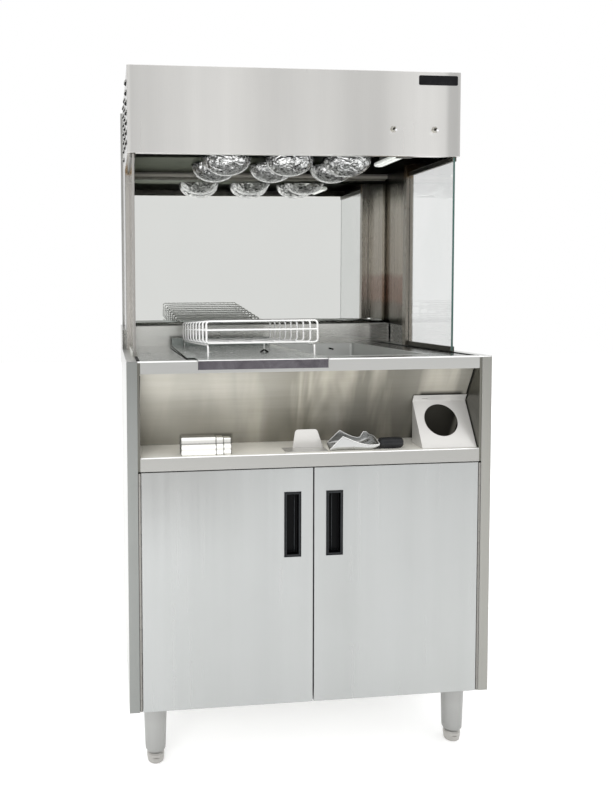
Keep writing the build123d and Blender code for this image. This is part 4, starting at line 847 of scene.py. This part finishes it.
# --- dark strips standing in for the shadow in the gaps between the worktop and the side rims, painted shade ---
def build_gap_shadow_strips():
    for s, tag in ((-1, "left"), (1, "right")):
        bm = bmesh.new()
        stations = []
        for i in range(13):
            d = 8 + (462 - 8) * i / 12
            z = 1003 - 0.0284 * d + 0.35
            xs = (-426.0, -417.6) if s < 0 else (417.9, 420.0)
            stations.append([P(xs[0], d, z - 2.2), P(xs[1], d, z - 2.2), P(xs[1], d, z - 0.3),
                             P((xs[0] + xs[1]) / 2, d, z + 0.35), P(xs[0], d, z - 0.3)])
        prism(bm, None, stations)
        new_object(f"worktop_gap_shadow_{tag}", bm, "cabinet", M["rubber"])


# --- louvres pressed out of the hood's sides ---
def build_louvres():
    steel_bm, dark_bm = bmesh.new(), bmesh.new()
    profile = [(0.0, 5.2), (2.6, 4.6), (4.8, 2.8), (5.6, 0.2), (5.4, -1.8), (4.6, -1.8), (4.6, 0.0), (3.9, 2.0), (2.2, 3.6), (0.0, 4.2)]
    pocket = [(0.1, 4.0), (2.1, 3.4), (3.7, 1.9), (4.4, 0.0), (4.5, -1.6), (0.1, -3.2)]
    for side in (-1, 1):
        for col, d in enumerate((235, 385, 535, 685)):
            if d > 620:
                continue
            for row in range(6 if col % 2 else 7):
                z = 1514.6 + 36 + (col % 2) * 12.8 + row * 25.6
                for bm, prof, half in ((steel_bm, profile, 22.0), (dark_bm, pocket, 22.3)):
                    stations = []
                    for i in range(9):
                        t = -1 + 2 * i / 8
                        k = max(0.08, 1 - abs(t) ** 6)
                        stations.append([P(side * (438.0 + o * k), d + half * t, z + u) for o, u in prof])
                    prism(bm, None, stations)
    new_object("hood_louvres", steel_bm, "cabinet", M["inner"])
    new_object("hood_louvre_shadows", dark_bm, "cabinet", M["vent"], smooth=False)


# --- drain slot in the pan's rear wall: a dark plug standing in for the shade inside the opening, painted shade, with a raised lip ---
def build_pan_slot():
    lip, hole = bmesh.new(), bmesh.new()
    me = NODES["dump_pan"].data
    wall = BVHTree.FromPolygons([v.co for v in me.vertices], [p.vertices for p in me.polygons])

    def rear(x, z):
        """Depth of the pan's rear wall at a height, in millimetres behind the cabinet's front face."""
        hit = wall.ray_cast(P(x, 400, z), Vector((0, 1, 0)))[0]
        return (hit.y - FRONT) / MM

    tilt = math.radians(-14)

    def at(rad, k, n, forward, length=6.4):
        a = 2 * math.pi * k / n
        x = rad * math.cos(a) + (length if math.cos(a) > 0 else -length)
        z = rad * math.sin(a)
        xr = x * math.cos(tilt) - z * math.sin(tilt)
        zr = x * math.sin(tilt) + z * math.cos(tilt)
        return P(242.2 + xr, rear(242.2 + xr, 962.5 + zr) - forward, 962.5 + zr)

    n = 36
    tube_along(lip, [at(3.0, k, n, 0.5) for k in range(n)], 0.7 * MM, 8, closed=True)
    front = [hole.verts.new(at(2.7, k, n, 0.55)) for k in range(n)]
    back = [hole.verts.new(at(2.7, k, n, 0.05)) for k in range(n)]
    hole.faces.new(front)
    hole.faces.new(list(reversed(back)))
    for k in range(n):
        hole.faces.new((front[k], back[k], back[(k + 1) % n], front[(k + 1) % n]))
    bmesh.ops.recalc_face_normals(hole, faces=hole.faces)
    new_object("pan_slot_lip", lip, "pan", M["pan"])
    new_object("pan_slot_opening", hole, "pan", M["vent"], smooth=False)


# --- middle leg of the bagging rack, on two short black feet ---
def build_rack_leg():
    wire, feet = bmesh.new(), bmesh.new()
    tube_along(wire, [P(-73, 242, 1026.0 - 29.0 * i / 10) for i in range(11)], 1.7 * MM, 12)
    for sx in (-1, 1):
        tube_along(feet, [P(-73 + sx * (0.4 + 12.0 * t), 242 - 2.0 * t, 1004.0 - 7.5 * t) for t in (0, 0.25, 0.5, 0.75, 1)],
                   lambda i: (2.6, 2.6, 2.5, 2.2, 1.6)[i] * MM, 12)
    new_object("rack_middle_leg", wire, "rack", M["wire"])
    new_object("rack_leg_feet", feet, "rack", M["rubber"])


# --- chip scoop: a bent sheet, open at the left, with a raised heel by the grip ---
def build_scoop():
    near = [(44, 778), (55, 788.5), (66, 799), (77, 809), (90, 803.5), (104.5, 797), (120, 791.5), (135, 787.6),
            (145, 786.4), (152, 786.2), (158, 786.6), (164, 787.2), (170, 788.2)]
    far = [(60, 778), (71, 788.5), (82, 799), (93, 809), (104, 802), (115, 796.5), (127, 791.5), (138, 789),
           (146, 790), (150, 797), (155, 804), (162, 803.5), (170, 797)]
    floor_z = [775.0] * 8 + [775.2, 776.2, 778.0, 781.0, 784.6]
    rows = 13
    bm = bmesh.new()
    NW, NF = 8, 14                       # divisions up a wall and across the floor

    def section(i):
        (xn, zn), (xf, zf), zb = near[i], far[i], floor_z[i]
        pts = []
        r = min(9.0, max(0.8, (zn - zb) * 0.45))
        for k in range(NW):
            t = k / NW
            pts.append((xn, 15.0, zn + (zb + r - zn) * t))
        for k in range(5):
            a = math.pi / 2 * k / 4
            pts.append((xn, 15.0 + r * (1 - math.cos(a)), zb + r * (1 - math.sin(a))))
        for k in range(1, NF):
            t = k / NF
            pts.append((xn + (xf - xn) * t, 15.0 + r + (95.0 - r - 15.0 - r) * t, zb + 0.25 * math.sin(math.pi * t)))
        rf = min(9.0, max(0.8, (zf - zb) * 0.45))
        for k in range(5):
            a = math.pi / 2 * k / 4
            pts.append((xf, 95.0 - rf + rf * math.sin(a), zb + rf * (1 - math.cos(a))))
        for k in range(1, NW + 1):
            t = k / NW
            pts.append((xf, 95.0, zb + rf + (zf - zb - rf) * t))
        return pts

    grid = [section(i) for i in range(rows)]
    # smooth the stations along the length
    fine = []
    for i in range(rows - 1):
        for j in range(4):
            t = j / 4
            fine.append([tuple(a[c] + (b[c] - a[c]) * t for c in range(3)) for a, b in zip(grid[i], grid[i + 1])])
    fine.append(grid[-1])
    verts = [[bm.verts.new(P(*p)) for p in row] for row in fine]
    for ra, rb in zip(verts, verts[1:]):
        for k in range(len(ra) - 1):
            bm.faces.new((ra[k], rb[k], rb[k + 1], ra[k + 1]))
    # heel: the right end, its top edge arched
    last = verts[-1]
    n = len(last)
    top = []
    for k in range(n):
        t = k / (n - 1)
        z = near[-1][1] + (far[-1][1] - near[-1][1]) * t + 7.0 * math.sin(math.pi * min(1.0, t * 1.05))
        top.append((170 - 1.5 * math.sin(math.pi * t), 15.0 + 80.0 * t, z))
    tops = [last[0]] + [bm.verts.new(P(*p)) for p in top[1:-1]] + [last[-1]]
    for k in range(n - 1):
        a, b, c, d = last[k], last[k + 1], tops[k + 1], tops[k]
        face = [v for i, v in enumerate((a, b, c, d)) if v not in (a, b, c, d)[:i]]
        if len(face) > 2:
            bm.faces.new(face)
    bmesh.ops.recalc_face_normals(bm, faces=bm.faces)
    o = new_object("scoop_sheet", bm, "scoop", M["scoop"])
    o.data.materials.append(M["scoopdark"])
    sol = o.modifiers.new("sheet", "SOLIDIFY")
    sol.thickness = 0.0011
    sol.offset = 0.0
    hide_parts("scoop_body")
    # rims painted bright, a painted highlight
    rim = bmesh.new()
    nf = [P(x, 15.0, z) for x, z in near]
    ff = [P(x, 95.0, z) for x, z in far]
    heel = [P(*p) for p in top]
    tube_along(rim, nf, 0.85 * MM, 8)
    tube_along(rim, ff, 0.85 * MM, 8)
    tube_along(rim, heel, 0.85 * MM, 8)
    new_object("scoop_rims", rim, "scoop", M["bead"])


# --- toggle levers: bats that swell to a rounded end ---
def build_toggles():
    lean = math.radians(14)
    along = Vector((0, -math.cos(lean), -math.sin(lean)))
    for body in ("toggle_heat", "toggle_light"):
        lo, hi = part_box(body)
        root = Vector(((lo.x + hi.x) / 2, FRONT + (166.0 - 1.0) * MM, 1583.5 * MM))
        radii = [(0.0, 2.4), (1.5, 2.5), (3.0, 1.9), (6.0, 1.7), (11.0, 2.0), (15.0, 2.6), (18.0, 3.1), (20.0, 3.2),
                 (21.6, 2.7), (22.6, 1.7), (23.0, 0.5)]
        bm = bmesh.new()
        tube_along(bm, [root + along * (t * MM) for t, _ in radii], lambda i: radii[i][1] * MM, 20)
        pin = [root + Vector((x * MM, 0, 0)) for x in (-3.6, -1.8, 0.0, 1.8, 3.6)]
        tube_along(bm, pin, 1.0 * MM, 10)
        o = new_object(body + "_bat", bm, body, M["chrome"])
        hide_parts(body)


# --- raised lips round the door handles' finger recesses ---
def build_handle_trims():
    for side in ("left", "right"):
        lo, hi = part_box("handle_" + side)
        bm = bmesh.new()
        inset, r, y = 4.6 * MM, 2.0 * MM, lo.y + 0.35 * MM
        x0, x1, z0, z1 = lo.x + inset, hi.x - inset, lo.z + inset, hi.z - inset
        pts = []
        for cx, cz, a0 in ((x1 - r, z1 - r, 0), (x0 + r, z1 - r, 90), (x0 + r, z0 + r, 180), (x1 - r, z0 + r, 270)):
            for k in range(5):
                a = math.radians(a0 + 90 * k / 4)
                pts.append(Vector((cx + r * math.cos(a), y, cz + r * math.sin(a))))
        tube_along(bm, pts, 0.55 * MM, 8, closed=True)
        # ridge down the recess, where fingers hook in
        xr = lo.x + (0.66 if side == "left" else 0.40) * (hi.x - lo.x)
        tube_along(bm, [Vector((xr, FRONT + 12.5 * MM, z0 + (z1 - z0) * (0.03 + 0.94 * t / 8))) for t in range(9)], 1.0 * MM, 10)
        new_object(f"handle_{side}_lip", bm, "door_" + side, M["trim"])


# --- dark strip standing in for the shadow gap down the left edge of the lift-out tray, painted shade ---
def build_tray_gap():
    bm = bmesh.new()
    stations = []
    for i in range(15):
        d = 10.0 + 530.0 * i / 14
        z = 1001.1 - 0.0327 * (d - 0.0) + 0.4
        x = -301.6
        stations.append([P(x - 1.5, d, z), P(x + 1.5, d, z), P(x + 1.5, d, z + 1.2), P(x, d, z + 1.6), P(x - 1.5, d, z + 1.2)])
    prism(bm, None, stations)
    new_object("tray_edge_shadow_strip", bm, "tray", M["rubber"])


# --- dark strip standing in for the shadow in the seam where the open shelf's leaning sheet meets its cheeks, painted shade ---
def build_shelf_seams():
    for sx, tag in ((-1, "left"), (1, "right")):
        bm = bmesh.new()
        me = NODES["niche_back"].data
        sheet = BVHTree.FromPolygons([v.co for v in me.vertices], [p.vertices for p in me.polygons])
        pts = []
        for i in range(15):
            z = 780.0 + (965.0 - 780.0) * i / 14
            hit = sheet.ray_cast(P(sx * 416.5, 2.0, z), Vector((0, 1, 0)))[0]
            if hit is not None:
                pts.append(Vector((sx * 417.6 * MM, hit.y - 0.0006, z * MM)))
        if len(pts) > 3:
            tube_along(bm, pts, 1.25 * MM, 8)
            new_object(f"shelf_seam_shadow_{tag}", bm, "cabinet", M["rubber"])


# --- ribs moulded round the scoop's grip ---
def build_grip_ribs():
    cx, cy, cz, r = 203.0, 30.0, 774.0 + 13.4, 13.2
    bm = bmesh.new()
    for i in range(20):
        a = 2 * math.pi * (i + 0.5) / 20
        pts = []
        for j in range(11):
            x = cx - 20.0 + 38.0 * j / 10
            k = r - 0.45 + 0.35 * math.sin(math.pi * j / 10)
            pts.append(P(x, cy + k * math.cos(a), cz + k * math.sin(a)))
        tube_along(bm, pts, 0.75 * MM, 8)
    new_object("scoop_grip_ribs", bm, "scoop", M["grip"])


build_lamps()
build_mirror()
build_beads()
build_gap_shadow_strips()
build_louvres()
build_pan_slot()
build_rack_leg()
build_scoop()
build_grip_ribs()
build_toggles()
build_handle_trims()
build_tray_gap()
build_shelf_seams()

# ---------------------------------------------------------------------------
# Floor, light, camera
# ---------------------------------------------------------------------------


def build_floor():
    me = bpy.data.meshes.new("studio_floor")
    bm = bmesh.new()
    bmesh.ops.create_grid(bm, x_segments=8, y_segments=8, size=9.0)
    bm.to_mesh(me)
    bm.free()
    o = bpy.data.objects.new("studio_floor", me)
    o.location = (0, 0, -0.0005)
    bpy.context.scene.collection.objects.link(o)
    m = Mat("floor_white")
    c = m.noise(m.mapped((1.2, 1.2, 1.2)), 1.0, 3.0, 0.5)
    m.link(m.mix(m.remap(c, 0.3, 0.7, 0, 1), (0.93, 0.93, 0.93), (0.95, 0.95, 0.95)), m.bsdf.inputs["Base Color"])
    m.set(Roughness=0.85, Specular_IOR_Level=0.2, Emission_Color=(1.0, 1.0, 1.0, 1.0), Emission_Strength=0.26)
    paint(o, m.m)


def build_world():
    """Even white studio: full white behind the object, a little less in front of it, brightest overhead."""
    w = bpy.data.worlds.new("studio")
    bpy.context.scene.world = w
    w.use_nodes = True
    t = w.node_tree
    t.nodes.clear()
    out = t.nodes.new("ShaderNodeOutputWorld")
    bg = t.nodes.new("ShaderNodeBackground")
    co = t.nodes.new("ShaderNodeTexCoord")
    sep = t.nodes.new("ShaderNodeSeparateXYZ")
    t.links.new(co.outputs["Generated"], sep.inputs[0])

    def ranged(value, a, b, c, d):
        mr = t.nodes.new("ShaderNodeMapRange")
        mr.interpolation_type = "SMOOTHSTEP"
        for i, v in zip((1, 2, 3, 4), (a, b, c, d)):
            mr.inputs[i].default_value = v
        t.links.new(value, mr.inputs[0])
        return mr.outputs[0]

    front = ranged(sep.outputs[1], -0.35, 0.25, 0.80, 1.0)
    top = ranged(sep.outputs[2], 0.32, 0.70, 0.0, 0.42)
    add = t.nodes.new("ShaderNodeMath")
    add.operation = "ADD"
    t.links.new(front, add.inputs[0])
    t.links.new(top, add.inputs[1])
    t.links.new(add.outputs[0], bg.inputs["Color"])
    bg.inputs["Strength"].default_value = 1.0
    t.links.new(bg.outputs[0], out.inputs[0])


def softbox(name, loc, target, size, power, glossy=True):
    li = bpy.data.lights.new(name, "AREA")
    li.shape = "RECTANGLE"
    li.size, li.size_y = size
    li.energy = power
    o = bpy.data.objects.new(name, li)
    o.location = loc
    o.rotation_euler = (Vector(target) - Vector(loc)).to_track_quat("-Z", "Y").to_euler()
    o.visible_glossy = glossy
    o.visible_transmission = glossy
    bpy.context.scene.collection.objects.link(o)
    return o


def build_camera():
    yaw, pitch, roll = -0.111, -0.0528, 0.0054
    r = Matrix.Rotation(yaw, 3, "Z") @ Matrix.Rotation(pitch, 3, "X") @ Matrix.Rotation(roll, 3, "Y")
    right, forward, up = r.col[0], r.col[1], r.col[2]
    m = Matrix((right, up, -forward)).transposed().to_4x4()
    m.translation = Vector((-0.49003, -1.8104138 + FRONT, 1.1965058))
    cam = bpy.data.cameras.new("camera")
    cam.lens = 34.8687
    cam.sensor_width = 36.0
    cam.shift_x = 0.13974
    cam.shift_y = -0.10043
    cam.clip_start, cam.clip_end = 0.05, 60
    o = bpy.data.objects.new("camera", cam)
    o.matrix_world = m
    bpy.context.scene.collection.objects.link(o)
    bpy.context.scene.camera = o


build_floor()
build_world()
softbox("front_fill", (-1.6, -3.6, 1.7), (0, 0, 0.9), (2.4, 2.0), 70, glossy=False)
build_camera()
bpy.context.scene.view_settings.view_transform = "Standard"
